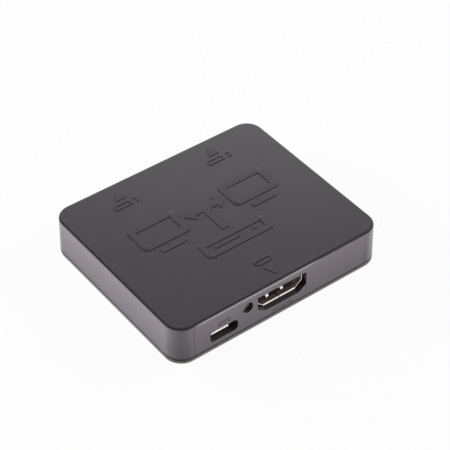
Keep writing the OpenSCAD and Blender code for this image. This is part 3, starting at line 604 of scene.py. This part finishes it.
# %% [markdown]
# ## Screws
# Four small screws with a domed head and a cross recess hold the halves together. A thread looks hard to
# model, but it is only a height field round a shank: the radius rises and falls with height, and the
# pattern climbs one pitch for each turn. The head is a stack of rings, and the cross is cut into it.

# %% Turn the screws
head_r = (screw_high.x - screw_low.x) / 2 - post_x
head_h = 1.2 * MM
dome_h = 0.35 * MM
dome_steps = 6
dome_tip_r = 0.02 * MM
thread_r = 1 * MM
thread_depth = 0.22 * MM
thread_pitch = 0.8 * MM
point_h = 0.8 * MM
point_share = 0.35
turn_steps = 24
rows_per_pitch = 8
cross_half = (1 * MM, 0.25 * MM)
cross_depth = 0.7 * MM


def ridge(share):
    """Height of a thread across one pitch: a ridge with a flat valley."""
    return max(0, 1 - 3 * abs(share % 1 - 0.5))


def shank_ring(x, y, z):
    """One ring of the shank: the thread starts gently, and the point narrows."""
    tip = min(1, (screw_high.z - z) / point_h + point_share)
    start = min(1, (z - seat_z) / thread_pitch) if z < screw_high.z else 0
    ring = []
    for step in range(turn_steps):
        turn = step / turn_steps
        radius = (thread_r - thread_depth + thread_depth * start * ridge(z / thread_pitch - turn)) * tip
        angle = 2 * math.pi * turn
        ring.append(Vector((x + radius * math.cos(angle), y + radius * math.sin(angle), z)))
    return ring


rows = round((screw_high.z - seat_z) / thread_pitch * rows_per_pitch)
screw_solids = bmesh.new()
crosses = [bmesh.new() for _ in range(2)]
for x, y in post_places:
    rings = []
    for step in range(dome_steps + 1):
        angle = math.pi / 2 * step / dome_steps
        radius = max(head_r * math.sin(angle), dome_tip_r)
        z = screw_low.z + dome_h * (1 - math.cos(angle))
        rings.append(at_height(circle(radius, x, y, turn_steps), z))
    rings.append(at_height(circle(head_r, x, y, turn_steps), screw_low.z + head_h))
    rings += [shank_ring(x, y, seat_z + (screw_high.z - seat_z) * row / rows) for row in range(rows + 1)]
    add_loft(screw_solids, rings)
    for cross, half in zip(crosses, (cross_half, cross_half[::-1])):
        slot = moved_to(rectangle(*half), x, y)
        add_upright(cross, slot, screw_low.z - over_cut, screw_low.z + cross_depth)
screws = new_piece("threaded_screws", screw_solids)
for cross in crosses:
    combine(screws, cross, "DIFFERENCE")
smooth_over(screws)

# %% [markdown]
# ## Bent sheet
# A socket's shell is a strip of nickel-plated sheet, bent round until its edges meet in a seam. The lips
# of its floor and roof are bevelled to lead the plug in, and the sides thin out at the mouth. It could be
# bent from a plane with a Solidify modifier. A loft is used instead, because it gives the lip its own
# rings and so its own highlight.

# %% Helpers for bent sheet
socket_y = -video_low.y
sheet_ease = 0.05 * MM
flat_limit = 0.95
side_thinning = 0.45
leg_inset = 0.01 * MM
strip_slack = 0.02 * MM


def socket_place(x, side):
    """Turns a socket's own measures, across, inwards and up from the board, into a place in the case."""
    def place(across, inwards, up):
        return Vector((x - side * across, side * (socket_y - inwards), board_top + up))
    return place


def add_tube(bm, place, opening, sheet, bend, front, back, lead_in, flare=0):
    """A tube of sheet round an opening: floor and roof have a lead-in bevel, and the sides thin out.

    A station is a share of the way through the sheet and a depth behind the front."""
    inner = softened(opening, bend)
    outer = softened(grown(opening, sheet), bend + sheet)
    lines = []
    for out, within in zip(outer, inner):
        upwards = (within - out).normalized().y
        bevel = lead_in
        turn = 0
        if abs(upwards) < flat_limit:
            bevel = sheet_ease
            turn = side_thinning
        elif upwards > 0:
            turn = -flare
        stations = ((0, back - front), (0, 2 * sheet_ease + lead_in), (turn, sheet_ease), (turn + 0.04, 0),
                    (turn + 0.1, 0), (0.92, 0.75 * bevel), (1, bevel), (1, back - front))
        points = [(out.lerp(within, share), back_by) for share, back_by in stations]
        lines.append([place(p.x, front + back_by, sheet + p.y) for p, back_by in points])
    add_loft(bm, list(zip(*lines)), ring_shaped=True)


def bent_strip(points, thickness):
    """Side view of a strip that follows the points, which lie on its upper face."""
    under = []
    for before, point, after in zip(points[:1] + points, points, points[1:] + points[-1:]):
        run = (after - before).normalized()
        under.append(point - Vector((-run.y, run.x)) * thickness)
    return points + under[::-1]


def add_strip(bm, side_view, width, lay, taper=0):
    """A strip of the given width; lay takes a place across it, and the depth and height of its side view.

    With a taper it loses up to that width, most at the end where its depth is least."""
    near = min(p.x for p in side_view)
    far = max(p.x for p in side_view)
    halves = [(width - taper * (far - p.x) / (far - near)) / 2 for p in side_view]
    add_loft(bm, [[lay(hand * half, p.x, p.y) for half, p in zip(halves, side_view)] for hand in (-1, 1)])


def add_box(bm, place, across, inwards, up):
    """A block between two limits along each of a socket's own directions."""
    corners = [(across[i], inwards[j]) for i, j in ((0, 0), (1, 0), (1, 1), (0, 1))]
    add_loft(bm, [[place(a, b, height_up) for a, b in corners] for height_up in up])


def in_wall(hand, half, sheet):
    """Limits across a leg that lies within a side wall's sheet."""
    return sorted((hand * (half - leg_inset), hand * (half - sheet + leg_inset)))


print("sockets start", in_mm(socket_y), "mm from the middle of the case")

# %% [markdown]
# ## Video shells
# Springy fingers are cut free in the walls of each video shell and pressed inwards, where they grip the
# plug. Four legs go through the board. The shell stands a little off the board and reaches into its
# opening. One function makes all three, because the outputs are the same socket turned half round.

# %% Measure the video shells
video_sheet = 0.3 * MM
video_bend = 0.3 * MM
video_inner_w = video_high.x - video_low.x - 2 * video_sheet
video_inner_h = video_high.z - board_top - 2 * video_sheet
video_length = video_high.y - video_low.y
video_stand = 0.3 * MM
video_reach = 0.5 * MM
video_slant = (2 * MM, 1.75 * MM)
video_mouth = moved_to(mouth(video_inner_w, video_inner_h - video_stand, *video_slant), 0, video_stand)
video_lead_in = 0.25 * MM
video_flare = 0.15
seam_half = 0.1 * MM
slot_w = 0.25 * MM
finger_x = 2.3 * MM
finger_w = 1.2 * MM
finger_taper = 0.3 * MM
side_finger_w = 1.1 * MM
side_finger_up = video_sheet + (video_slant[1] + video_inner_h) / 2
finger_window = (0.95 * MM, 6 * MM)
finger_line = millimetres((
    (1.07, -0.45), (1.2, -0.28), (1.35, -0.08), (1.5, 0.12), (1.63, 0.28),
    (1.78, 0.4), (2, 0.46), (2.4, 0.45), (6, -0.01), (6.2, -0.01),
))
finger_view = bent_strip(finger_line, video_sheet - strip_slack)
video_legs = [(2 * MM, 3.2 * MM), (8 * MM, 9.2 * MM)]
leg_low = video_low.z - board_top
leg_top = 2.35 * MM
print("video shells are", in_mm(video_inner_w), "x", in_mm(video_inner_h), "mm inside")

# %% Bend the three video shells
def stamped_video_shell(name, x, side):
    place = socket_place(x, side)
    floor_up = video_sheet + video_stand
    roof_up = video_sheet + video_inner_h
    half_out = video_inner_w / 2 + video_sheet
    tube, windows, seam, fingers, legs = (bmesh.new() for _ in range(5))
    add_tube(tube, place, video_mouth, video_sheet, video_bend, -video_reach, video_length,
             video_lead_in, video_flare)
    reach = slot_w + finger_w / 2
    side_reach = slot_w + side_finger_w / 2
    beside_finger = (side_finger_up - side_reach, side_finger_up + side_reach)
    through_floor = (-over_cut, floor_up + over_cut / 2)
    through_roof = (roof_up - over_cut / 2, roof_up + video_sheet + over_cut)
    for hand in (-1, 1):
        across = (hand * finger_x - reach, hand * finger_x + reach)
        add_box(windows, place, across, finger_window, through_floor)
        add_box(windows, place, across, finger_window, through_roof)
        through_side = (hand * half_out - over_cut, hand * half_out + over_cut)
        add_box(windows, place, through_side, finger_window, beside_finger)
        for level, up in ((floor_up, 1), (roof_up, -1)):
            add_strip(fingers, finger_view, finger_w,
                      lambda s, y, z: place(hand * finger_x + s, y, level + up * z), finger_taper)
        add_strip(fingers, finger_view, side_finger_w,
                  lambda s, y, z: place(hand * (half_out - video_sheet - z), y, side_finger_up + s))
        for inwards in video_legs:
            add_box(legs, place, in_wall(hand, half_out, video_sheet), inwards, (leg_low, leg_top))
    seam_run = (-video_reach - over_cut, video_length + over_cut)
    add_box(seam, place, (-seam_half, seam_half), seam_run, through_floor)
    shell = new_piece(name, tube)
    combine(shell, windows, "DIFFERENCE")
    combine(shell, seam, "DIFFERENCE")
    combine(shell, fingers, "UNION")
    combine(shell, legs, "UNION")
    return smooth_over(shell)


video_shells = {name + "_shell": stamped_video_shell("stamped_" + name + "_shell", x, video_side[name])
                for name, x in video_x.items()}

# %% [markdown]
# ## Power shell
# The power socket's shell is smaller and has no fingers. A short strip at the front of its floor slopes
# down over the edge of the board, a little to one side, and is the bright line in its opening. It is bent
# with the same helpers.

# %% Bend the power shell
power_sheet = 0.2 * MM
power_bend = 0.2 * MM
power_inner_w = power_high.x - power_low.x - 2 * power_sheet
power_inner_h = power_high.z - board_top - 2 * power_sheet
power_slant = (0.75 * MM, 0.9 * MM)
power_mouth = mouth(power_inner_w, power_inner_h, *power_slant)
power_lead_in = 0.18 * MM
power_legs = (1.6 * MM, 2.4 * MM)
power_leg_top = 1.3 * MM

power_place = socket_place(power_x, -1)
power_tube, power_lips, power_feet = (bmesh.new() for _ in range(3))
power_length = power_high.y + socket_y
add_tube(power_tube, power_place, power_mouth, power_sheet, power_bend, 0, power_length, power_lead_in)
lip_line = millimetres((
    (-0.31, -0.28), (-0.28, -0.18), (-0.17, -0.03), (-0.07, 0.11), (0.02, 0.18), (0.3, 0.19),
))
lip_shift = -0.3 * MM
lip_view = bent_strip(lip_line, power_sheet - strip_slack)
add_strip(power_lips, lip_view, power_inner_w - 2 * power_slant[0],
          lambda across, inwards, up: power_place(across + lip_shift, inwards, up))
power_half = power_inner_w / 2 + power_sheet
for hand in (-1, 1):
    across = in_wall(hand, power_half, power_sheet)
    add_box(power_feet, power_place, across, power_legs, (power_low.z - board_top, power_leg_top))
power_shell = new_piece("stamped_power_shell", power_tube)
combine(power_shell, power_lips, "UNION")
combine(power_shell, power_feet, "UNION")
smooth_over(power_shell)

# %% [markdown]
# ## Status light
# The light is a small frosted lens with a collar. Its nose is flat with a rounded rim and reaches into
# the hole. It could be a bevelled cylinder, but it is a turned shape, so one profile is carried round its
# axis.

# %% Turn the lens
lens_r = 1.45 * MM
collar_r = (light_high.z - light_low.z) / 2
collar_t = 1 * MM
nose_reach = 0.3 * MM
nose_y = light_low.y - nose_reach
nose_r = 0.15 * MM
nose_crown = 0.05 * MM
nose_steps = 6
tip_r = 0.03 * MM
lens_steps = 40

profile = [(tip_r, nose_y), (lens_r - 2 * nose_r, nose_y + nose_crown / 3)]
for step in range(nose_steps + 1):
    angle = math.pi / 2 * step / nose_steps
    radius = lens_r - nose_r + nose_r * math.sin(angle)
    profile.append((radius, nose_y + nose_crown + nose_r * (1 - math.cos(angle))))
collar_y = light_high.y - collar_t
profile += [(lens_r, collar_y), (collar_r, collar_y), (collar_r, light_high.y)]
lens_rings = []
for radius, y in profile:
    lens_rings.append([Vector((light_x + p.x, y, light_z + p.y)) for p in circle(radius, steps=lens_steps)])
lens_solid = bmesh.new()
add_loft(lens_solid, lens_rings)
lens = smooth_over(new_piece("frosted_lens", lens_solid))

# %% [markdown]
# ## Writing materials as sums
# A material is a small program drawn as boxes and wires. Drawing it by hand in code is slow to read, so a
# wire gets the arithmetic signs: adding two wires places a Math node. Colours are blended with a Mix
# node, and every other node comes from one method, which sets the node's choices first and then its
# sockets.

# %% A wire that can be added and multiplied
def arithmetic(operation, swapped=False):
    """A method that places one Math node."""
    def method(self, *others):
        values = (*others, self) if swapped else (self, *others)
        return self.graph.node("Math", {"operation": operation}, dict(enumerate(values)))["Value"]
    return method


class Wire:
    """A value somewhere in a material; arithmetic on it adds Math nodes."""

    def __init__(self, graph, socket):
        self.graph = graph
        self.socket = socket

    __add__ = __radd__ = arithmetic("ADD")
    __sub__ = arithmetic("SUBTRACT")
    __rsub__ = arithmetic("SUBTRACT", swapped=True)
    __mul__ = __rmul__ = arithmetic("MULTIPLY")
    __lt__ = arithmetic("LESS_THAN")
    __gt__ = arithmetic("GREATER_THAN")
    __pow__ = arithmetic("POWER")
    __abs__ = arithmetic("ABSOLUTE")
    at_least = arithmetic("MAXIMUM")

    def ramp(self, start, end):
        """0 up to start, 1 from end on, and an even rise between them."""
        sockets = {"Value": self, "From Min": start, "From Max": end}
        return self.graph.node("MapRange", {}, sockets)["Result"]


print("a wire has", len(vars(Wire)), "methods and values")

# %% Graphs and finishes
class Graph:
    """The nodes of a material or of the world."""

    def __init__(self, tree):
        self.tree = tree

    def connect(self, socket, value):
        """Links a wire to a socket, or sets the socket; a colour gets its alpha here."""
        if isinstance(value, Wire):
            self.tree.links.new(value.socket, socket)
        else:
            socket.default_value = (*value, 1) if socket.type == "RGBA" else value

    def node(self, kind, settings=None, sockets=None):
        """A new shader node: its choices first, then its sockets. Returns its outputs by name."""
        made = self.tree.nodes.new("ShaderNode" + kind)
        for key, choice in (settings or {}).items():
            setattr(made, key, choice)
        for key, value in (sockets or {}).items():
            self.connect(made.inputs[key], value)
        return {out.name: Wire(self, out) for out in made.outputs if out.enabled}

    def blend(self, share, first, second):
        """A colour between two colours."""
        sockets = {"Factor": share, 6: first, 7: second}
        return self.node("Mix", {"data_type": "RGBA"}, sockets)["Result"]

    def split(self, vector):
        return self.node("SeparateXYZ", {}, {"Vector": vector})

    def mix(self, share, first, second):
        """A shader between two shaders."""
        return self.node("MixShader", {}, {0: share, 1: first, 2: second})["Shader"]

    def seen_rays(self):
        """1 for rays from the camera and in reflections or clear parts, 0 for those that spread light."""
        rays = self.node("LightPath")
        return rays["Is Camera Ray"] + rays["Is Glossy Ray"] + rays["Is Transmission Ray"]

    def show(self, look):
        """Sends a shader to the tree's output."""
        end = next(node for node in self.tree.nodes if node.type.startswith("OUTPUT"))
        self.connect(end.inputs["Surface"], look)


class Finish(Graph):
    """A material under construction, with its shader ready."""

    def __init__(self, name, **shader):
        self.material = bpy.data.materials.new(name)
        self.material.use_nodes = True
        super().__init__(self.material.node_tree)
        finishes[name] = self.material
        self.shader = self.tree.nodes["Principled BSDF"]
        self.set(**shader)
        self.place = self.node("TexCoord")["Object"]

    def set(self, **values):
        """Sets sockets of the shader, such as base_color for Base Color."""
        names = {socket.name.lower().replace(" ", "_"): socket for socket in self.shader.inputs}
        for key, value in values.items():
            self.connect(names[key], value)

    def noise(self, grain, detail=2.0, stretch=(1, 1, 1)):
        """Noise from 0 to 1 with grains of about the given size."""
        scale = tuple(s / grain for s in stretch)
        spread = self.node("VectorMath", {"operation": "MULTIPLY"}, {0: self.place, 1: scale})
        sockets = {"Vector": spread["Vector"], "Scale": 1.0, "Detail": detail}
        return self.node("TexNoise", {}, sockets)["Fac"]

    def bump(self, heights, depth):
        """Raises and lowers the surface by up to depth."""
        return self.node("Bump", {}, {"Height": heights, "Distance": depth})["Normal"]


finishes = {}

# %% [markdown]
# ## Case plastic
# The case is black plastic, but black plastic in a bright room is dark grey. Its walls come from a
# spark-eroded mould with a fine grain. Their colour is painted lighter than the roof's, a painted
# reflection of the white floor, and darker towards the bottom, a painted shade; the base cover is painted
# lighter and warmer, a painted reflection of the floor too. The rounded edge and the sides of the signs are
# polished and look black, and the pale line under the near edge is a painted highlight. The tops of the
# signs are slightly brown, and the faces inside are painted darker and brown, a painted shade. Several
# materials could be painted on, but one can tell these places apart by which way the surface faces, how
# high it lies and how far it is behind the outline.

# %% Tell the places on the case apart
skin_depth = (0.35 * MM, 0.6 * MM)
upright = (0.08, 0.25)
flat_top = (0.75, 0.96)
# Where the painted highlight runs: a pale line on the near side, just under the top edge.
highlight_start = (-27 * MM, -25 * MM)
highlight_end = (8 * MM, 13 * MM)
highlight_low = (height - 1.05 * MM, height - 0.85 * MM)
highlight_high = (height - 0.42 * MM, height - 0.3 * MM)
highlight_depth = 0.42 * MM
gap_shadow_z = parting_z + 0.47 * MM
gap_shadow_half = (0.12 * MM, 0.29 * MM)
# Heights over which the walls' painted shade fades: darkest near the floor, lightest near the top.
wall_shade_heights = (2.5 * MM, 10.5 * MM)

plastic = Finish("case_plastic", ior=1.5)
axes = plastic.split(plastic.place)
level = abs(plastic.split(plastic.node("TexCoord")["Normal"])["Z"])
past_x = (abs(axes["X"]) - (half_w - corner_r)).at_least(0)
past_y = (abs(axes["Y"]) - (half_d - corner_r)).at_least(0)
behind = corner_r - (past_x ** 2 + past_y ** 2) ** 0.5
wall = (1 - level.ramp(*upright)) * (1 - behind.ramp(*skin_depth))
base = axes["Z"] < parting_z
matt = wall.at_least(base)
inside = behind.ramp(*skin_depth) * (axes["Z"] < height - roof_t / 2) * (axes["Z"] > parting_z)
polished = (1 - level.ramp(*flat_top) * (1 - inside)) * (1 - matt)
along_highlight = axes["X"].ramp(*highlight_start) * (1 - axes["X"].ramp(*highlight_end))
highlight_height = axes["Z"].ramp(*highlight_low) * (1 - axes["Z"].ramp(*highlight_high))
# The painted highlight's mask: the pale line under the near top edge.
rim = along_highlight * highlight_height * (axes["Y"] < highlight_depth - half_d)
raised = (axes["Z"] > height + sign_height / 2) * (level > 0.5)
gap_shadow = 1 - abs(axes["Z"] - gap_shadow_z).ramp(*gap_shadow_half)
# Painted shade on the walls: 0 near the floor, 1 near the top.
rise = axes["Z"].ramp(*wall_shade_heights)
print("the places take", len(plastic.tree.nodes), "nodes")

# %% Mix the case plastic
cloud = plastic.noise(9 * MM, detail=3)
grain = plastic.noise(0.16 * MM, detail=3)
speck = plastic.noise(0.5 * MM)
tone = plastic.blend(cloud, (0.038, 0.034, 0.039), (0.044, 0.040, 0.045))
# The walls are painted lighter than the roof, a painted reflection of the white floor over their real
# grain, and darker towards the bottom as painted shade.
wall_tone_with_painted_light = plastic.blend(rise, (0.106, 0.090, 0.107), (0.186, 0.157, 0.188))
tone = plastic.blend(wall, tone, plastic.blend(cloud * 0.2, wall_tone_with_painted_light, (0.150, 0.128, 0.152)))
sign_tone = plastic.blend(speck, (0.036, 0.029, 0.035), (0.062, 0.052, 0.058))
tone = plastic.blend(raised, tone, sign_tone)
# The base cover is painted lighter and warmer, a painted reflection of the white floor.
base_tone_with_painted_light = plastic.blend(speck, (0.146, 0.116, 0.108), (0.166, 0.134, 0.125))
tone = plastic.blend(base, tone, base_tone_with_painted_light)
tone = plastic.blend(grain * 0.2, tone, (0.11, 0.099, 0.112))
tone = plastic.blend(polished, tone, (0.007, 0.006, 0.007))
# Painted shade: the faces inside the openings are darker, with a brown tint.
tone = plastic.blend(inside, tone, (0.064, 0.048, 0.047))
# Painted highlight: a pale line under the near top edge.
tone = plastic.blend(rim * 0.9, tone, (0.40, 0.37, 0.415))
tone = plastic.blend(gap_shadow, tone, (0.008, 0.007, 0.007))
plastic.set(
    base_color=tone,
    roughness=0.36 - 0.06 * matt + 0.18 * raised - 0.2 * polished + 0.08 * (grain - 0.5),
    normal=plastic.bump(grain * (0.3 + 0.7 * matt + 0.6 * raised), 0.02 * MM),
)
print("case plastic uses", len(plastic.tree.nodes), "nodes")

# %% [markdown]
# ## Metals
# The socket shells are stamped from nickel-plated sheet, so their shine is broken by faint lines along
# the direction of rolling. The contacts have a skin of gold, the leads are dull tin, the cans are drawn
# aluminium, and the screws are black zinc. One recipe serves all five, with its own colour, dullness and
# streaks.

# %% Mix the metals
def metal(slot, bright, dull, rough, streak, grain_size):
    """Bare or plated metal with streaks; streak gives the stretch along each axis."""
    finish = Finish(slot, metallic=1.0)
    lines = finish.noise(grain_size, detail=4, stretch=streak)
    stain = finish.noise(1.5 * MM)
    finish.set(
        base_color=finish.blend(0.5 * lines + 0.5 * stain, bright, dull),
        roughness=rough + 0.1 * (lines - 0.5) + 0.08 * (stain - 0.5),
        normal=finish.bump(lines, 0.0002 * MM),
    )


metal("socket_nickel", (0.95, 0.91, 0.86), (0.86, 0.76, 0.67), 0.3, (1, 0.08, 1), 0.12 * MM)
metal("contact_gold", (0.86, 0.64, 0.26), (0.70, 0.48, 0.16), 0.26, (1, 0.1, 1), 0.08 * MM)
metal("lead_tin", (0.62, 0.63, 0.64), (0.45, 0.46, 0.47), 0.42, (1, 1, 1), 0.2 * MM)
metal("can_aluminium", (0.78, 0.78, 0.80), (0.62, 0.62, 0.64), 0.30, (1, 1, 0.1), 0.1 * MM)
metal("screw_steel", (0.075, 0.075, 0.08), (0.04, 0.04, 0.042), 0.36, (1, 1, 1), 0.3 * MM)
print("finishes so far:", sorted(finishes))

# %% [markdown]
# ## Moulded and coated parts
# The black blocks in the sockets, the chips and the small coated parts are all dull and fine-grained.
# They differ in colour and in how coarse the grain is, so one recipe serves them too.

# %% Mix the moulded and coated finishes
def moulded(slot, dark, light, rough, grain_size, depth):
    finish = Finish(slot)
    grain_noise = finish.noise(grain_size, detail=3)
    patch = finish.noise(12 * grain_size)
    finish.set(
        base_color=finish.blend(0.6 * grain_noise + 0.4 * patch, dark, light),
        roughness=rough + 0.14 * (grain_noise - 0.5),
        normal=finish.bump(grain_noise, depth),
    )


moulded("socket_plastic", (0.032, 0.022, 0.018), (0.060, 0.044, 0.037), 0.48, 0.12 * MM, 0.006 * MM)
moulded("chip_resin", (0.018, 0.018, 0.019), (0.034, 0.034, 0.036), 0.55, 0.08 * MM, 0.006 * MM)
moulded("fuse_body", (0.02, 0.09, 0.035), (0.04, 0.15, 0.06), 0.45, 0.1 * MM, 0.005 * MM)
moulded("resistor_body", (0.012, 0.012, 0.014), (0.03, 0.03, 0.033), 0.3, 0.15 * MM, 0.004 * MM)
moulded("ceramic_body", (0.28, 0.17, 0.09), (0.42, 0.28, 0.16), 0.5, 0.1 * MM, 0.005 * MM)
print("so far:", len(finishes), "finishes")

# %% [markdown]
# ## Board and lens
# The circuit board is glass cloth under a black varnish, with copper tracks that show as slightly paler
# lines. A wave gives the tracks, and noise keeps them to patches. The lens is frosted resin, unlit, so it
# shows as a dull pale mauve with a soft highlight.

# %% Mix the board and the lens
track_scale = 1 / (0.9 * MM)
board = Finish("board_laminate", coat_weight=0.4, coat_roughness=0.2)
scaling = {0: board.place, "Scale": track_scale}
track_place = board.node("VectorMath", {"operation": "SCALE"}, scaling)
tracks = board.node("TexWave", {"wave_type": "BANDS", "bands_direction": "DIAGONAL"},
                    {"Vector": track_place["Vector"], "Scale": 0.35, "Distortion": 0.0})["Fac"]
routed = board.noise(7 * MM, detail=1)
copper = (tracks > 0.62) * (routed > 0.5)
cloth = board.noise(0.3 * MM)
varnish = board.blend(cloth, (0.020, 0.018, 0.019), (0.032, 0.029, 0.031))
board.set(
    base_color=board.blend(copper, varnish, (0.050, 0.046, 0.043)),
    roughness=0.36 + 0.12 * (cloth - 0.5),
    normal=board.bump(copper + 0.15 * cloth, 0.03 * MM),
)

resin = Finish("lens_resin", transmission_weight=0.1, ior=1.5)
frost = resin.noise(0.1 * MM, detail=3)
resin.set(
    base_color=resin.blend(frost, (0.44, 0.36, 0.38), (0.52, 0.44, 0.46)),
    roughness=0.26 + 0.14 * (frost - 0.5),
    normal=resin.bump(frost, 0.004 * MM),
)
print("finishes:", len(finishes))

# %% [markdown]
# ## Dress the part
# Every solid that stays gets the finish of its material in the record, and every new piece stands for the
# solid it was made from. A piece has to ride on a body of the model; this box has no moving part, so
# there is one.

# %% Give every piece its finish
remade = {"top_shell": upper_case, "base_cover": lower_case, "case_screws": screws, "light_lens": lens,
          "power_shell": power_shell, **video_shells}
for subpart in frame["record"]["subparts"]:
    node, slot_name = subpart["node"], subpart["material_slot"]
    piece = remade.get(node, frame["nodes"][node])
    if node in remade:
        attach(piece, "root")
        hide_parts(node)
    piece.data.materials.clear()
    piece.data.materials.append(finishes[slot_name])

# %% [markdown]
# ## Floor
# The photograph shows the box alone on a white sweep. A plain disc would come out grey, so this one also
# glows for the camera and in reflections. Seen from below it is clear, so that the underside of the box
# shows.

# %% Lay the floor
floor_r = 3.0
floor_z = -0.02 * MM
floor_glow = 0.94
floor_mesh = bmesh.new()
rim_points = at_height(circle(floor_r, steps=64), floor_z)
floor_mesh.faces.new([floor_mesh.verts.new(point) for point in rim_points])
floor = new_piece("paper_floor", floor_mesh)

paper = Finish("white_paper", roughness=0.9, specular_ior_level=0.1)
fibre = paper.noise(2 * MM, detail=3)
paper.set(base_color=paper.blend(fibre, (0.74, 0.74, 0.74), (0.76, 0.76, 0.76)))
glow = paper.node("Emission", {}, {"Color": (1, 1, 1)})["Emission"]
surface = Wire(paper, paper.shader.outputs["BSDF"])
upper = paper.mix(paper.seen_rays() * floor_glow, surface, glow)
clear = paper.node("BsdfTransparent")["BSDF"]
underneath = paper.node("NewGeometry")["Backfacing"]
paper.show(paper.mix(underneath, upper, clear))
floor.data.materials.append(paper.material)
paper.material.cycles.emission_sampling = "NONE"
print("floor", 2 * floor_r, "m across")

# %% [markdown]
# ## Light
# A large soft lamp at the far left makes that wall the brightest, and another at the near right lights
# the near side and shines into the sockets. Only a small third lamp, at the far right, shows in
# reflections. Apart from it the box reflects a white backdrop that darkens upwards and towards the far
# side, so the roof stays dark. One bright world could light it all, but then every side would look alike.

# %% Light the room
far_share = 0.3
backdrop_fade = (0.3, 0.8)
world = bpy.data.worlds.new("studio")
world.use_nodes = True
scene.world = world
room = Graph(world.node_tree)
towards = room.split(room.node("TexCoord")["Generated"])
climb = towards["Z"] + far_share * towards["Y"]
backdrop = room.blend(climb.ramp(*backdrop_fade), (1, 1, 1), (0.05, 0.05, 0.055))
white = room.node("Background", {}, {"Color": backdrop})["Background"]
lit = room.node("Background", {}, {"Color": (0.09, 0.09, 0.095)})["Background"]
room.show(room.mix(room.seen_rays(), lit, white))


def soft_lamp(name, place, wide, tall, power, mirrored=False):
    """A soft box that faces the middle of the part; unless mirrored, shiny surfaces don't show it."""
    lamp = bpy.data.lights.new(name, "AREA")
    lamp.shape = "RECTANGLE"
    lamp.size = wide
    lamp.size_y = tall
    lamp.energy = power
    stand = bpy.data.objects.new(name, lamp)
    stand.location = place
    aim = Vector((0, 0, height / 2)) - stand.location
    stand.rotation_euler = aim.to_track_quat("-Z", "Y").to_euler()
    stand.visible_glossy = mirrored
    scene.collection.objects.link(stand)


soft_lamp("left_box", Vector((-0.37, 0.38, 0.17)), 0.6, 0.4, 5.6)
soft_lamp("near_box", Vector((0.86, -0.41, 0.30)), 0.9, 0.9, 15.6)
soft_lamp("far_box", Vector((0.26, 0.34, 0.22)), 0.3, 0.2, 0.40, mirrored=True)
scene.view_settings.view_transform = "Standard"

# %% [markdown]
# ## Camera
# The camera stands where the real one stood. It could be turned by eye, but here its place, angles and
# focal length were fitted to the outline of the case in the photograph.

# %% Set up the camera
photo_px = 450
focal_px = 1601.6
view_down = 42.32
view_turn = 37.23
camera = bpy.data.objects.new("camera", bpy.data.cameras.new("camera"))
camera.data.sensor_width = 36
camera.data.lens = camera.data.sensor_width * focal_px / photo_px
camera.location = Vector((-181.854, -243.204, 286.341)) * MM
camera.rotation_euler = (math.radians(90 - view_down), 0, math.radians(-view_turn))
scene.collection.objects.link(camera)
scene.camera = camera
print("camera lens", round(camera.data.lens, 1), "mm")

# %% [markdown]
